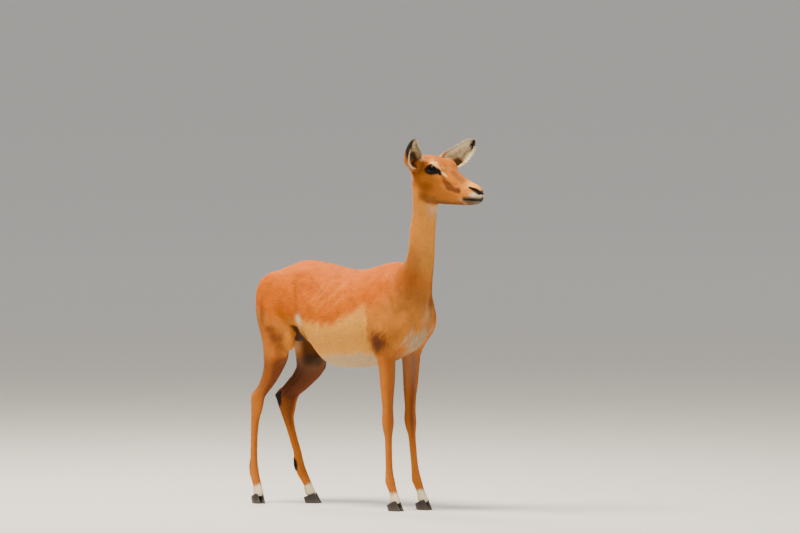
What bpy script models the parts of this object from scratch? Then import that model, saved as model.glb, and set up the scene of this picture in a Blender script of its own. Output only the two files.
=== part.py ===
"""A life-size impala ewe, standing alert with its head up.

The body is lofted as a whole from named cross-sections, rounded with muscles, and then parted with thin
cuts into trunk, neck, head and legs. Tail, ears, eyes and hoof claws are made on their own.

Metres, +Z up, +X towards the head and +Y to the animal's left. The floor is at Z 0.
"""

import math

import bmesh
import bpy
import numpy as np
from mathutils import Matrix, Vector

# ---------------------------------------------------------------- driving dimensions
ORIGIN = Vector((0.120, 0.007, 0.0))  # the floor point under the middle of the animal's box
GAP = 0.0003  # the width of a parting cut
CELL = 0.005  # the grid that the body is rebuilt on
BODY_TRIANGLES = 5120
SIDES = {"right": -1.0, "left": 1.0}

HEAD_PLACE = Vector((0.375, 0.0, 0.0))  # the origin of the head's own frame, above the throat

EYE_RADIUS = 0.0200
EYE_PLACE = Vector((0.067, 0.0360, 1.146))  # left eye's centre, in the head's own frame

EAR_LENGTH = 0.161
EAR_WIDTH = 0.068
EAR_THICKNESS = 0.0050
EAR_ROOT = {"right": Vector((-0.008, -0.044, 1.152)), "left": Vector((0.008, 0.048, 1.142))}  # head's frame
EAR_AIM = {"right": Vector((0.51, -0.61, 0.61)), "left": Vector((0.39, 0.69, 0.61))}
EAR_OPEN = {"right": Vector((0.84, 0.20, -0.15)), "left": Vector((0.74, -0.60, 0.18))}  # the hollow's side

CLAW_LENGTH = 0.050
CLAW_WIDTH = 0.0180
CLAW_SPREAD = 0.0102  # half the distance between the middles of a foot's two claws
CORONET_FRONT = 0.036  # height of the hoof's upper edge at the toe
CORONET_HEEL = 0.020
CLAW_TURN = 4.0  # degrees by which the two claws point towards each other
CLAW_LEAN = 0.42  # how far the front of the hoof leans back for each unit of height

# The thin cuts that part the body. A plane is a point on it and its normal.
ACROSS_NAPE = ((0.370, 0.0, 1.068), Vector((0.66, 0.0, 1.0)))
ACROSS_WITHERS = ((0.330, 0.0, 0.785), Vector((0.62, 0.0, 0.72)))
# A leg's cell: its inner end along X, its upper side's height CELL_MIDDLE off the midline, and that slope.
LEG_CELLS = {"fore": (0.11, 0.512, 0.85), "hind": (-0.03, 0.560, 0.80)}
CELL_MIDDLE = 0.024
CELL_WALL = 0.004  # distance of its inner wall from the midline

# ---------------------------------------------------------------- cross-sections
# A section holds its place along the loft, the two ends of its long axis, and its half-width a quarter,
# half and three quarters of the way round from the first end to the second.

TRUNK = {  # x, back, belly, then the upper, middle and lower half-width
    "rump end": (-0.359, 0.738, 0.684, 0.022, 0.030, 0.022),
    "tail head": (-0.350, 0.757, 0.648, 0.042, 0.054, 0.044),
    "buttock": (-0.326, 0.773, 0.605, 0.060, 0.077, 0.066),
    "hip joint": (-0.290, 0.784, 0.570, 0.072, 0.093, 0.080),
    "sacrum": (-0.230, 0.803, 0.548, 0.082, 0.101, 0.085),
    "croup": (-0.170, 0.821, 0.550, 0.086, 0.104, 0.086),
    "loin": (-0.110, 0.821, 0.526, 0.087, 0.109, 0.090),
    "flank": (-0.040, 0.812, 0.473, 0.092, 0.120, 0.113),
    "belly": (0.040, 0.800, 0.459, 0.094, 0.126, 0.120),
    "ribs": (0.100, 0.800, 0.464, 0.091, 0.122, 0.112),
    "girth": (0.160, 0.815, 0.476, 0.083, 0.112, 0.098),
    "withers": (0.215, 0.830, 0.492, 0.068, 0.103, 0.085),
    "shoulder": (0.265, 0.832, 0.508, 0.060, 0.098, 0.075),
    "neck root": (0.310, 0.815, 0.530, 0.060, 0.088, 0.066),
    "breast": (0.345, 0.780, 0.562, 0.052, 0.070, 0.052),
    "point of breast": (0.370, 0.730, 0.608, 0.034, 0.046, 0.033),
    "breast end": (0.380, 0.700, 0.645, 0.015, 0.020, 0.015),
}
NECK = {  # z, throat side, nape side, then the front, middle and rear half-width
    "root": (0.640, 0.372, 0.240, 0.050, 0.075, 0.060),
    "breast": (0.700, 0.383, 0.235, 0.053, 0.074, 0.055),
    "dewlap": (0.760, 0.391, 0.245, 0.048, 0.065, 0.048),
    "base": (0.810, 0.398, 0.268, 0.042, 0.054, 0.038),
    "low": (0.850, 0.403, 0.290, 0.037, 0.046, 0.032),
    "lower third": (0.900, 0.406, 0.298, 0.034, 0.041, 0.029),
    "middle": (0.940, 0.408, 0.302, 0.033, 0.039, 0.028),
    "upper third": (1.000, 0.416, 0.313, 0.032, 0.037, 0.027),
    "throat": (1.050, 0.425, 0.313, 0.033, 0.039, 0.028),
    "atlas": (1.100, 0.428, 0.311, 0.033, 0.040, 0.030),
    "skull base": (1.140, 0.420, 0.319, 0.028, 0.034, 0.026),
}
HEAD = {  # x in the head's frame, top, underside, then the upper, middle and lower half-width
    "lip front": (0.2475, 1.069, 1.047, 0.0090, 0.0105, 0.0080),
    "nose tip": (0.2430, 1.084, 1.040, 0.0120, 0.0145, 0.0110),
    "nose front": (0.2330, 1.0930, 1.035, 0.0162, 0.0182, 0.0145),
    "nostril": (0.2200, 1.1000, 1.0320, 0.0185, 0.0208, 0.0170),
    "lip": (0.2000, 1.1080, 1.0290, 0.0195, 0.0225, 0.0185),
    "chin": (0.1750, 1.1200, 1.0275, 0.0200, 0.0240, 0.0195),
    "mouth corner": (0.1490, 1.1350, 1.0275, 0.0225, 0.0260, 0.0195),
    "muzzle": (0.1210, 1.1540, 1.0270, 0.0295, 0.0300, 0.0210),
    "cheek": (0.0950, 1.1710, 1.0265, 0.0380, 0.0375, 0.0240),
    "brow": (0.0680, 1.1840, 1.0265, 0.0450, 0.0430, 0.0260),
    "forehead": (0.0420, 1.1925, 1.0280, 0.0450, 0.0455, 0.0290),
    "crown": (0.0150, 1.1965, 1.0310, 0.0430, 0.0465, 0.0320),
    "poll": (-0.0110, 1.1950, 1.0400, 0.0390, 0.0450, 0.0330),
    "occiput": (-0.0310, 1.1860, 1.0600, 0.0340, 0.0410, 0.0300),
    "nape": (-0.0460, 1.1700, 1.0940, 0.0250, 0.0310, 0.0240),
    "nape end": (-0.0540, 1.1530, 1.1140, 0.0120, 0.0160, 0.0120),
}
FORE_LEG = {  # z, front, back, then the front, middle and rear half-width, and the distance from the midline
    "shoulder": (0.660, 0.352, 0.190, 0.030, 0.040, 0.030, 0.060),
    "upper arm": (0.600, 0.340, 0.188, 0.030, 0.042, 0.034, 0.063),
    "arm": (0.560, 0.316, 0.192, 0.028, 0.039, 0.034, 0.065),
    "elbow": (0.530, 0.292, 0.205, 0.026, 0.034, 0.030, 0.064),
    "below elbow": (0.500, 0.286, 0.214, 0.0245, 0.030, 0.026, 0.062),
    "forearm top": (0.460, 0.283, 0.219, 0.022, 0.0265, 0.022, 0.060),
    "forearm": (0.420, 0.280, 0.221, 0.0195, 0.023, 0.018, 0.059),
    "forearm low": (0.380, 0.275, 0.225, 0.0165, 0.0195, 0.0155, 0.058),
    "above knee": (0.340, 0.272, 0.230, 0.0155, 0.0175, 0.0145, 0.0575),
    "knee top": (0.315, 0.2735, 0.229, 0.0165, 0.0190, 0.0165, 0.0575),
    "knee": (0.292, 0.2750, 0.2295, 0.0165, 0.0190, 0.0165, 0.0575),
    "below knee": (0.268, 0.2715, 0.2340, 0.0140, 0.0155, 0.0140, 0.0575),
    "cannon top": (0.245, 0.2685, 0.2405, 0.0115, 0.0125, 0.0115, 0.0575),
    "cannon": (0.190, 0.2690, 0.2425, 0.0108, 0.0118, 0.0108, 0.0575),
    "cannon low": (0.140, 0.2715, 0.2440, 0.0112, 0.0122, 0.0112, 0.0575),
    "above fetlock": (0.115, 0.2760, 0.2435, 0.0130, 0.0148, 0.0132, 0.0575),
    "fetlock": (0.096, 0.2810, 0.2440, 0.0145, 0.0165, 0.0148, 0.0575),
    "pastern top": (0.078, 0.2860, 0.2520, 0.0140, 0.0155, 0.0130, 0.0575),
    "pastern": (0.058, 0.2930, 0.2620, 0.0140, 0.0155, 0.0125, 0.0575),
    "coronet": (0.034, 0.3040, 0.2660, 0.0160, 0.0185, 0.0165, 0.0575),
    "in the hoof": (0.010, 0.3080, 0.2680, 0.0150, 0.0175, 0.0160, 0.0575),
}
HIND_LEG = {
    "hip": (0.740, -0.200, -0.322, 0.030, 0.038, 0.030, 0.052),
    "haunch": (0.700, -0.168, -0.338, 0.030, 0.042, 0.034, 0.060),
    "thigh": (0.650, -0.152, -0.338, 0.030, 0.044, 0.036, 0.063),
    "low thigh": (0.600, -0.150, -0.326, 0.030, 0.043, 0.035, 0.064),
    "stifle": (0.560, -0.162, -0.312, 0.028, 0.040, 0.033, 0.066),
    "below stifle": (0.522, -0.178, -0.304, 0.0255, 0.036, 0.030, 0.068),
    "gaskin top": (0.488, -0.180, -0.306, 0.0225, 0.032, 0.025, 0.070),
    "gaskin": (0.456, -0.196, -0.312, 0.0185, 0.027, 0.020, 0.070),
    "gaskin low": (0.424, -0.218, -0.328, 0.0165, 0.0225, 0.0140, 0.069),
    "above hock": (0.392, -0.246, -0.349, 0.0160, 0.0202, 0.0115, 0.068),
    "hock point": (0.375, -0.264, -0.367, 0.0160, 0.0198, 0.0118, 0.068),
    "hock top": (0.360, -0.281, -0.373, 0.0162, 0.0196, 0.0125, 0.068),
    "hock": (0.343, -0.292, -0.368, 0.0165, 0.0192, 0.0140, 0.068),
    "low hock": (0.326, -0.298, -0.364, 0.0158, 0.0180, 0.0142, 0.0675),
    "shank top": (0.308, -0.306, -0.362, 0.0145, 0.0165, 0.0135, 0.067),
    "cannon top": (0.285, -0.318, -0.360, 0.0130, 0.0142, 0.0122, 0.067),
    "cannon": (0.250, -0.326, -0.359, 0.0115, 0.0125, 0.0112, 0.067),
    "mid cannon": (0.200, -0.330, -0.360, 0.0110, 0.0118, 0.0110, 0.067),
    "cannon low": (0.150, -0.3305, -0.361, 0.0115, 0.0125, 0.0115, 0.067),
    "above fetlock": (0.122, -0.3280, -0.3625, 0.0130, 0.0148, 0.0132, 0.067),
    "fetlock": (0.102, -0.3245, -0.3635, 0.0145, 0.0165, 0.0148, 0.067),
    "pastern top": (0.082, -0.3190, -0.3560, 0.0140, 0.0155, 0.0130, 0.067),
    "pastern": (0.058, -0.3130, -0.3460, 0.0140, 0.0155, 0.0125, 0.067),
    "coronet": (0.034, -0.3050, -0.3440, 0.0165, 0.0188, 0.0168, 0.067),
    "in the hoof": (0.010, -0.3030, -0.3420, 0.0155, 0.0178, 0.0162, 0.067),
}
# How far a leg is carried forward of the sections above, by height from the floor up.
LEG_LEAN = {
    ("fore", "right"): ((0.0, 0.000), (0.6, 0.000)),
    ("fore", "left"): ((0.0, 0.024), (0.1, 0.016), (0.3, -0.003), (0.6, 0.000)),
    ("hind", "right"): ((0.0, 0.000), (0.6, 0.000)),
    ("hind", "left"): (
        (0.0, 0.122), (0.06, 0.108), (0.12, 0.089), (0.173, 0.075), (0.23, 0.050), (0.29, 0.025),
        (0.325, 0.014), (0.36, 0.009), (0.39, 0.022), (0.424, 0.037), (0.456, 0.044), (0.488, 0.034),
        (0.53, 0.016), (0.62, 0.000),
    ),
}
LEG_TURN = {"fore": ((0.0, 0.0), (0.6, 0.0)), "hind": ((0.39, 22.0), (0.55, 3.0), (0.6, 0.0))}  # toes outward
TAIL = {  # z, front, back, then the front, middle and rear half-width
    "root": (0.757, -0.332, -0.358, 0.012, 0.016, 0.012),
    "dock": (0.738, -0.346, -0.371, 0.012, 0.018, 0.013),
    "upper": (0.700, -0.360, -0.383, 0.011, 0.018, 0.013),
    "mid": (0.655, -0.355, -0.378, 0.010, 0.019, 0.014),
    "brush": (0.615, -0.344, -0.367, 0.010, 0.020, 0.015),
    "low brush": (0.575, -0.333, -0.356, 0.010, 0.020, 0.015),
    "tuft": (0.540, -0.329, -0.350, 0.008, 0.016, 0.011),
    "tip": (0.515, -0.331, -0.346, 0.004, 0.007, 0.005),
}
# Muscles and bones that swell the body on both sides: centre, radii, and the turn about Y in degrees.
MUSCLES = {
    "shoulder blade": ((0.270, 0.046, 0.690), (0.055, 0.038, 0.110), -20.0),
    "point of shoulder": ((0.322, 0.054, 0.645), (0.042, 0.032, 0.055), 0.0),
    "upper arm": ((0.285, 0.068, 0.600), (0.085, 0.031, 0.045), -42.0),
    "triceps": ((0.228, 0.064, 0.595), (0.050, 0.034, 0.070), 20.0),
    "elbow": ((0.213, 0.064, 0.532), (0.016, 0.014, 0.026), 15.0),
    "haunch": ((-0.235, 0.052, 0.700), (0.105, 0.048, 0.085), 10.0),
    "point of hip": ((-0.128, 0.056, 0.772), (0.036, 0.020, 0.026), 0.0),
    "stifle": ((-0.184, 0.074, 0.562), (0.028, 0.022, 0.045), -15.0),
}
HEAD_MUSCLES = {  # the same, in the head's own frame
    "orbit": ((0.067, 0.031, 1.147), (0.032, 0.021, 0.0250), 10.0),
    "brow": ((0.082, 0.027, 1.161), (0.034, 0.018, 0.016), 32.0),
    "jaw muscle": ((0.028, 0.026, 1.083), (0.042, 0.021, 0.045), 0.0),
    "ear bulb": ((-0.002, 0.034, 1.158), (0.024, 0.023, 0.026), 0.0),
}

# ---------------------------------------------------------------- finishes
FINISHES = {  # colour and roughness
    "saddle": ((0.56, 0.24, 0.09), 0.75),
    "fawn": ((0.62, 0.33, 0.15), 0.75),
    "eye": ((0.015, 0.010, 0.008), 0.10),
    "horn": ((0.03, 0.026, 0.024), 0.45),
}


def finish(name):
    """The material of that name, made once."""
    made = bpy.data.materials.get(name)
    if made is None:
        colour, roughness = FINISHES[name]
        made = bpy.data.materials.new(name)
        made.use_nodes = True
        shader = made.node_tree.nodes["Principled BSDF"]
        shader.inputs["Base Color"].default_value = (*colour, 1.0)
        shader.inputs["Roughness"].default_value = roughness
        shader.inputs["Metallic"].default_value = 0.0
    return made


# ---------------------------------------------------------------- lofting
def smooth_rows(rows, step):
    """The rows with more of them put between on smooth curves, about step apart along their first column."""
    rows = np.array(rows, float)
    padded = np.vstack([2 * rows[0] - rows[1], rows, 2 * rows[-1] - rows[-2]])
    dense = []
    for before, start, end, after in zip(padded, padded[1:], padded[2:], padded[3:]):
        count = max(1, round(abs(end[0] - start[0]) / step))
        span = end[0] - start[0]
        out_slope = (end - before) / (end[0] - before[0]) * span
        in_slope = (after - start) / (after[0] - start[0]) * span
        for t in np.arange(count) / count:
            ease = t * t * (3 - 2 * t)
            dense.append(
                start + (end - start) * ease
                + out_slope * (t * (1 - t) ** 2) - in_slope * (t * t * (1 - t))
            )
    return np.vstack([dense, rows[-1]])


def outline(first, second, widths, points, fullness):
    """Half an outline from the first end to the second: distances along the long axis, and half-widths."""
    angle = np.linspace(0, math.pi, points)
    quarter = (angle - math.pi / 2) / (math.pi / 4)  # -1, 0 and 1 where the three widths are given
    first_w, middle, last_w = widths
    width = middle + quarter * (last_w - first_w) / 2 + quarter**2 * ((first_w + last_w) / 2 - middle)
    width = np.clip(width, 0.15 * middle, None) * np.sin(angle).clip(0) ** fullness
    return (first + second) / 2 + (first - second) / 2 * np.cos(angle), width


def loft(name, sections, axis, step=0.012, points=13, fullness=0.75, pose=None):
    """A closed tube through the sections, along X (ends of the long axis at top and bottom) or along Z
    (ends in front and behind). A seventh number in a section is its middle's distance from the midline."""
    rows = smooth_rows([s if len(s) > 6 else (*s, 0.0) for s in sections], step)
    bm = bmesh.new()
    rings = []
    for place, first, second, *widths, middle in rows:
        along, half = outline(first, second, widths, points, fullness)
        sides = [(a, w) for a, w in zip(along, half)]
        sides += [(a, -w) for a, w in zip(along[-2:0:-1], half[-2:0:-1])]
        if axis == "X":
            ring = [Vector((place, middle + side, a)) for a, side in sides]
        else:
            ring = [Vector((a, middle + side, place)) for a, side in sides]
        if pose:
            move = pose(place, Vector(((first + second) / 2, middle, 0.0)))
            ring = [move @ point for point in ring]
        rings.append([bm.verts.new(p) for p in ring])
    for one, other in zip(rings, rings[1:]):
        for i in range(len(one)):
            bm.faces.new((one[i], one[i - 1], other[i - 1], other[i]))
    bm.faces.new(rings[0])
    bm.faces.new(reversed(rings[-1]))
    bmesh.ops.recalc_face_normals(bm, faces=bm.faces)
    return to_object(bm, name)


def to_object(bm, name):
    """The bmesh as a new object in the scene."""
    mesh = bpy.data.meshes.new(name)
    bm.to_mesh(mesh)
    bm.free()
    made = bpy.data.objects.new(name, mesh)
    bpy.context.scene.collection.objects.link(made)
    return made


def ellipsoid(name, centre, radii, turn):
    """A ball stretched to three radii and turned about Y by so many degrees."""
    bm = bmesh.new()
    turned = Matrix.Rotation(math.radians(turn), 4, "Y") @ Matrix.Diagonal((*radii, 1.0))
    place = Matrix.Translation(centre) @ turned
    bmesh.ops.create_icosphere(bm, subdivisions=3, radius=1.0, matrix=place)
    return to_object(bm, name)


def leg_pose(pair, side):
    """How a leg is carried: the move of what lies at a height about a middle there."""
    lean_at, lean = zip(*LEG_LEAN[(pair, side)])
    turn_at, turn = zip(*LEG_TURN[pair])

    def pose(height, middle):
        angle = math.radians(float(np.interp(height, turn_at, turn))) * SIDES[side]
        forward = Vector((float(np.interp(height, lean_at, lean)), 0.0, 0.0))
        turned = Matrix.Rotation(angle, 4, "Z") @ Matrix.Translation(-middle)
        return Matrix.Translation(middle + forward) @ turned

    return pose


def head_frame():
    """The matrix that carries the head's own frame to its place on the neck."""
    return Matrix.Translation(HEAD_PLACE)


# ---------------------------------------------------------------- the whole body
def body_pieces():
    """Every closed shape that is melted into the body."""
    pieces = [
        loft("trunk form", TRUNK.values(), "X", fullness=0.70),
        loft("neck form", NECK.values(), "Z"),
    ]
    head = [loft("head form", HEAD.values(), "X", step=0.005, points=17, fullness=0.62)]
    for side, sign in SIDES.items():
        for pair, sections in (("fore", FORE_LEG), ("hind", HIND_LEG)):
            placed = [(*s[:6], s[6] * sign) for s in sections.values()]
            pieces.append(loft(f"{pair} {side} form", placed, "Z", pose=leg_pose(pair, side)))
        for name, (centre, radii, turn) in MUSCLES.items():
            pieces.append(ellipsoid(name, Vector((centre[0], centre[1] * sign, centre[2])), radii, turn))
        for name, (centre, radii, turn) in HEAD_MUSCLES.items():
            head.append(ellipsoid(name, Vector((centre[0], centre[1] * sign, centre[2])), radii, turn))
    for piece in head:
        piece.data.transform(head_frame())
    return pieces + head


def evaluated_mesh(made):
    """The object's mesh with its modifiers applied, in place of the object."""
    graph = bpy.context.evaluated_depsgraph_get()
    mesh = bpy.data.meshes.new_from_object(made.evaluated_get(graph))
    made.modifiers.clear()
    made.data = mesh
    return made


def melt(pieces, name):
    """The pieces as one closed skin, with the creases where they meet smoothed out."""
    bm = bmesh.new()
    for piece in pieces:
        bm.from_mesh(piece.data)
        bpy.data.objects.remove(piece)
    made = to_object(bm, name)
    rebuild = made.modifiers.new("rebuild", "REMESH")
    rebuild.mode = "VOXEL"
    rebuild.voxel_size = CELL
    relax = made.modifiers.new("relax", "LAPLACIANSMOOTH")
    relax.iterations = 3
    relax.lambda_factor = 1.2
    relax.use_volume_preserve = True
    evaluated_mesh(made)
    thin = made.modifiers.new("thin out", "DECIMATE")
    thin.ratio = BODY_TRIANGLES / sum(len(f.vertices) - 2 for f in made.data.polygons)
    return evaluated_mesh(made)


# ---------------------------------------------------------------- parting cuts
def half_space(point, normal, size=1.5, depth=1.5):
    """A big cutter that holds everything on the normal's side of a plane."""
    bm = bmesh.new()
    bmesh.ops.create_cube(bm, size=1.0)
    turn = Vector(normal).to_track_quat("Z", "Y").to_matrix().to_4x4()
    shape = Matrix.Diagonal((size, size, depth, 1.0)) @ Matrix.Translation((0, 0, 0.5))
    bm.transform(Matrix.Translation(point) @ turn @ shape)
    return to_object(bm, "cutter")


def combine(made, cutter, operation):
    """Keeps what the object has inside or outside the cutter, and throws the cutter away."""
    cut = made.modifiers.new("cut", "BOOLEAN")
    cut.operation = operation
    cut.solver = "EXACT"
    cut.object = cutter
    evaluated_mesh(made)
    bpy.data.objects.remove(cutter)


def copy_of(made, name):
    """A second object with a mesh of its own."""
    other = bpy.data.objects.new(name, made.data.copy())
    bpy.context.scene.collection.objects.link(other)
    return other


def in_front(made, planes, gap=GAP / 2):
    """Keeps what lies in front of every plane, and a little less of it, for the cut's own width."""
    for point, normal in planes:
        normal = Vector(normal).normalized()
        combine(made, half_space(Vector(point) + normal * gap, normal), "INTERSECT")
    return made


def cell_of(planes):
    """A solid block in front of every plane, and a little more of it, for the cut's own width."""
    point, normal = planes[0]
    normal = Vector(normal).normalized()
    return in_front(half_space(Vector(point) - normal * GAP / 2, normal), planes[1:], -GAP / 2)


def grown(made, margin):
    """A copy of the object, a little bigger all round."""
    other = copy_of(made, "grown")
    normals = [vertex.normal.copy() for vertex in other.data.vertices]
    for vertex, normal in zip(other.data.vertices, normals):
        vertex.co += normal * margin
    return other


# ---------------------------------------------------------------- eyes
def eye(side):
    """An eyeball at its place in the head."""
    place = EYE_PLACE * Vector((1.0, SIDES[side], 1.0))
    bm = bmesh.new()
    bmesh.ops.create_uvsphere(bm, u_segments=16, v_segments=10, radius=EYE_RADIUS)
    bm.transform(head_frame() @ Matrix.Translation(place) @ Matrix.Rotation(math.pi / 2, 4, "X"))
    return to_object(bm, f"eye_{side}")


def socket(side):
    """What the eyeball needs cut from the head."""
    cutter = eye(side)
    centre = head_frame() @ (EYE_PLACE * Vector((1.0, SIDES[side], 1.0)))
    grow = (EYE_RADIUS + 2 * GAP) / EYE_RADIUS
    cutter.data.transform(Matrix.Translation(centre) @ Matrix.Scale(grow, 4) @ Matrix.Translation(-centre))
    cutter.name = "socket"
    return cutter


# ---------------------------------------------------------------- ears
EAR_SHAPE = (  # share of the length, half-width and bow to the outer rim as shares of the width, and its closing
    (0.00, 0.28, 0.00, 150.0),
    (0.10, 0.38, 0.00, 138.0),
    (0.22, 0.49, 0.01, 118.0),
    (0.38, 0.53, 0.08, 96.0),
    (0.56, 0.50, 0.15, 82.0),
    (0.74, 0.41, 0.11, 74.0),
    (0.88, 0.28, 0.08, 70.0),
    (0.96, 0.14, 0.06, 60.0),
    (1.00, 0.04, 0.04, 40.0),
)


def ear_frame(side):
    """The matrix of an ear's own frame: +Z along the ear, +X out of its hollow side."""
    aim = EAR_AIM[side].normalized()
    hollow = EAR_OPEN[side]
    hollow = (hollow - aim * hollow.dot(aim)).normalized()
    turn = Matrix((hollow, aim.cross(hollow), aim)).transposed().to_4x4()
    return head_frame() @ Matrix.Translation(EAR_ROOT[side]) @ turn


def ear(side, columns=8, step=0.11):
    """A cupped leaf of even thickness, closed round its rim."""
    rows = smooth_rows(EAR_SHAPE, step)
    bm = bmesh.new()
    layers = []
    for inward in (False, True):
        grid = []
        for share, width, bow, closing in rows:
            bend = math.radians(closing)
            radius = width * EAR_WIDTH / math.sin(min(bend, math.pi / 2))
            thick = EAR_THICKNESS * (1.0 - 0.45 * share)
            if inward:
                radius -= thick
            line = []
            for angle in np.linspace(-bend, bend, columns):
                across = math.sin(angle) * max(radius, 0.0004) + SIDES[side] * bow * EAR_WIDTH
                depth = -math.cos(angle) * max(radius, 0.0004) + radius * math.cos(bend) * 0.5
                tip_gap = 0.001 if inward and share == 1.0 else 0.0
                line.append(bm.verts.new((depth, across, share * EAR_LENGTH - tip_gap)))
            grid.append(line)
        layers.append(grid)
    outer, inner = layers
    for grid in layers:
        for one, other in zip(grid, grid[1:]):
            for i in range(columns - 1):
                bm.faces.new((one[i], one[i + 1], other[i + 1], other[i]))
    for a, b, c, d in zip(outer, outer[1:], inner, inner[1:]):
        for i in (0, -1):
            bm.faces.new((a[i], b[i], d[i], c[i]))
    for a, b in ((outer[0], inner[0]), (outer[-1], inner[-1])):
        for i in range(columns - 1):
            bm.faces.new((a[i], a[i + 1], b[i + 1], b[i]))
    bmesh.ops.recalc_face_normals(bm, faces=bm.faces)
    bm.transform(ear_frame(side))
    return to_object(bm, f"ear_{side}")


# ---------------------------------------------------------------- feet
def foot_frame(pair, side):
    """The matrix of a foot's own frame: on the floor under the hoof's middle, +X towards the toe."""
    coronet = (FORE_LEG if pair == "fore" else HIND_LEG)["coronet"]
    middle = Vector(((coronet[1] + coronet[2]) / 2, coronet[6] * SIDES[side], 0.0))
    return leg_pose(pair, side)(0.0, middle) @ Matrix.Translation(middle + Vector((0.006, 0.0, 0.0)))


def coronet_plane(pair, side):
    """A point and the downward normal of the plane that parts a leg from its claws."""
    frame = foot_frame(pair, side)
    slope = (CORONET_FRONT - CORONET_HEEL) / CLAW_LENGTH
    normal = frame.to_3x3() @ Vector((slope, 0.0, -1.0)).normalized()
    return frame @ Vector((0.0, 0.0, (CORONET_FRONT + CORONET_HEEL) / 2)), normal


def claw(pair, side, which):
    """One pointed claw with a flat sole, its top cut parallel to the leg's end."""
    sign = SIDES[side] * (1.0 if which == "outer" else -1.0)
    bm = bmesh.new()
    rings = []
    for height, size in ((0.0, 1.0), (0.004, 1.04), (0.045, 0.78)):
        ring = []
        for turn in np.linspace(0, 2 * math.pi, 14, endpoint=False):
            reach, across = math.cos(turn), math.sin(turn)
            pointed = 1.0 - 0.42 * max(reach, 0.0) ** 2
            along = reach * CLAW_LENGTH / 2 * size - height * CLAW_LEAN
            ring.append(bm.verts.new((along, across * CLAW_WIDTH / 2 * pointed * size**0.6, height)))
        rings.append(ring)
    for one, other in zip(rings, rings[1:]):
        for i in range(len(one)):
            bm.faces.new((one[i - 1], one[i], other[i], other[i - 1]))
    bm.faces.new(reversed(rings[0]))
    bm.faces.new(rings[-1])
    toed_in = Matrix.Rotation(-sign * math.radians(CLAW_TURN), 4, "Z")
    bm.transform(foot_frame(pair, side) @ Matrix.Translation((0.0, sign * CLAW_SPREAD, 0.0)) @ toed_in)
    bmesh.ops.recalc_face_normals(bm, faces=bm.faces)
    made = to_object(bm, f"hoof_{pair}_{side}_{which}")
    point, normal = coronet_plane(pair, side)
    combine(made, half_space(point + normal * GAP / 2, -normal), "DIFFERENCE")
    return made


# ---------------------------------------------------------------- assembly
def main():
    """Builds the animal and stands it over the origin."""
    for old in list(bpy.data.objects):
        bpy.data.objects.remove(old)
    body = melt(body_pieces(), "trunk")
    made = [ear(side) for side in SIDES] + [loft("tail", TAIL.values(), "Z", step=0.025, points=8)]
    for piece in made:
        combine(piece, grown(body, 2 * GAP), "DIFFERENCE")
    for side, sign in SIDES.items():
        for pair in ("fore", "hind"):
            point, normal = coronet_plane(pair, side)
            combine(body, half_space(point - normal * GAP / 2, normal, size=0.16, depth=0.2), "DIFFERENCE")
            made += [claw(pair, side, which) for which in ("inner", "outer")]
        made.append(eye(side))
        combine(body, socket(side), "DIFFERENCE")
    made.append(in_front(copy_of(body, "head"), [ACROSS_NAPE]))
    made.append(in_front(copy_of(body, "neck"), [ACROSS_WITHERS, (ACROSS_NAPE[0], -ACROSS_NAPE[1])]))
    cells = []
    for side, sign in SIDES.items():
        for pair, (inner_end, height, slope) in LEG_CELLS.items():
            planes = [
                ((inner_end, CELL_MIDDLE * sign, height), (0.0, sign * slope, -1.0)),
                ((inner_end, 0.0, 0.0), (1.0 if pair == "fore" else -1.0, 0.0, 0.0)),
                ((0.0, CELL_WALL * sign, 0.0), (0.0, sign, 0.0)),
            ]
            made.append(in_front(copy_of(body, f"leg_{pair}_{side}"), planes))
            cells.append(cell_of(planes))
    in_front(body, [(ACROSS_WITHERS[0], -ACROSS_WITHERS[1])])
    for cell in cells:
        combine(body, cell, "DIFFERENCE")
    made.append(body)
    for part in made:
        part.data.transform(Matrix.Translation(-ORIGIN))
        kind = part.name.split("_")[0]
        part.data.materials.clear()
        part.data.materials.append(finish({"eye": "eye", "hoof": "horn", "leg": "fawn"}.get(kind, "saddle")))
        part.data.shade_smooth()
        part.data.set_sharp_from_angle(angle=math.radians(40))


main()
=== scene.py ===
"""The looks of a life-size impala ewe that stands alert with her head up.

One skin is melted together from lofted forms, given its face and its muscles, and covered with mesh tufts.
Eyes, lids and hooves are made on their own. All of it is built in the animal's own frame (metres, +X to
the head, +Y to her left, +Z up) and then carried to the row's frame, whose origin is under her middle.
"""

import functools
import logging
import math
from collections.abc import Callable, Iterable, Sequence
from dataclasses import dataclass
from enum import Enum
from typing import NamedTuple

import bmesh
import bpy
import numpy as np
from bpy.types import ID, Material, Mesh, NodeSocket, Object
from mathutils import Matrix, Vector
from mathutils.bvhtree import BVHTree


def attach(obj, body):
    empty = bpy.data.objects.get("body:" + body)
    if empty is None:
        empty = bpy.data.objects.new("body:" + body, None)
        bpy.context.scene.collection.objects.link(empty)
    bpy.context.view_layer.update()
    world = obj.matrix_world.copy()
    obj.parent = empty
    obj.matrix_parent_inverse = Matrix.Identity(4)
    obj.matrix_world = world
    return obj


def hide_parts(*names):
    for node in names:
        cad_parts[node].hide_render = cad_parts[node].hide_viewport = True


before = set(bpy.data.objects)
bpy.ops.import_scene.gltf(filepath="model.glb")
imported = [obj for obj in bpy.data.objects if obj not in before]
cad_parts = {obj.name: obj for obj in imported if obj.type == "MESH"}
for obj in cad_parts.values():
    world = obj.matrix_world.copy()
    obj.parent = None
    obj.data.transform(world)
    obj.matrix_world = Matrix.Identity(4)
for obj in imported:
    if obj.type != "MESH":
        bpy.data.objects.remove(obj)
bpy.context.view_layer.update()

ORIGIN = np.array((0.12, 0.007, 0.0))  # the row's origin in the animal's own frame
HEAD_PLACE = np.array((0.375, 0.0, 0.0))  # the origin of the head's own frame
LOG = logging.getLogger("impala")

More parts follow.
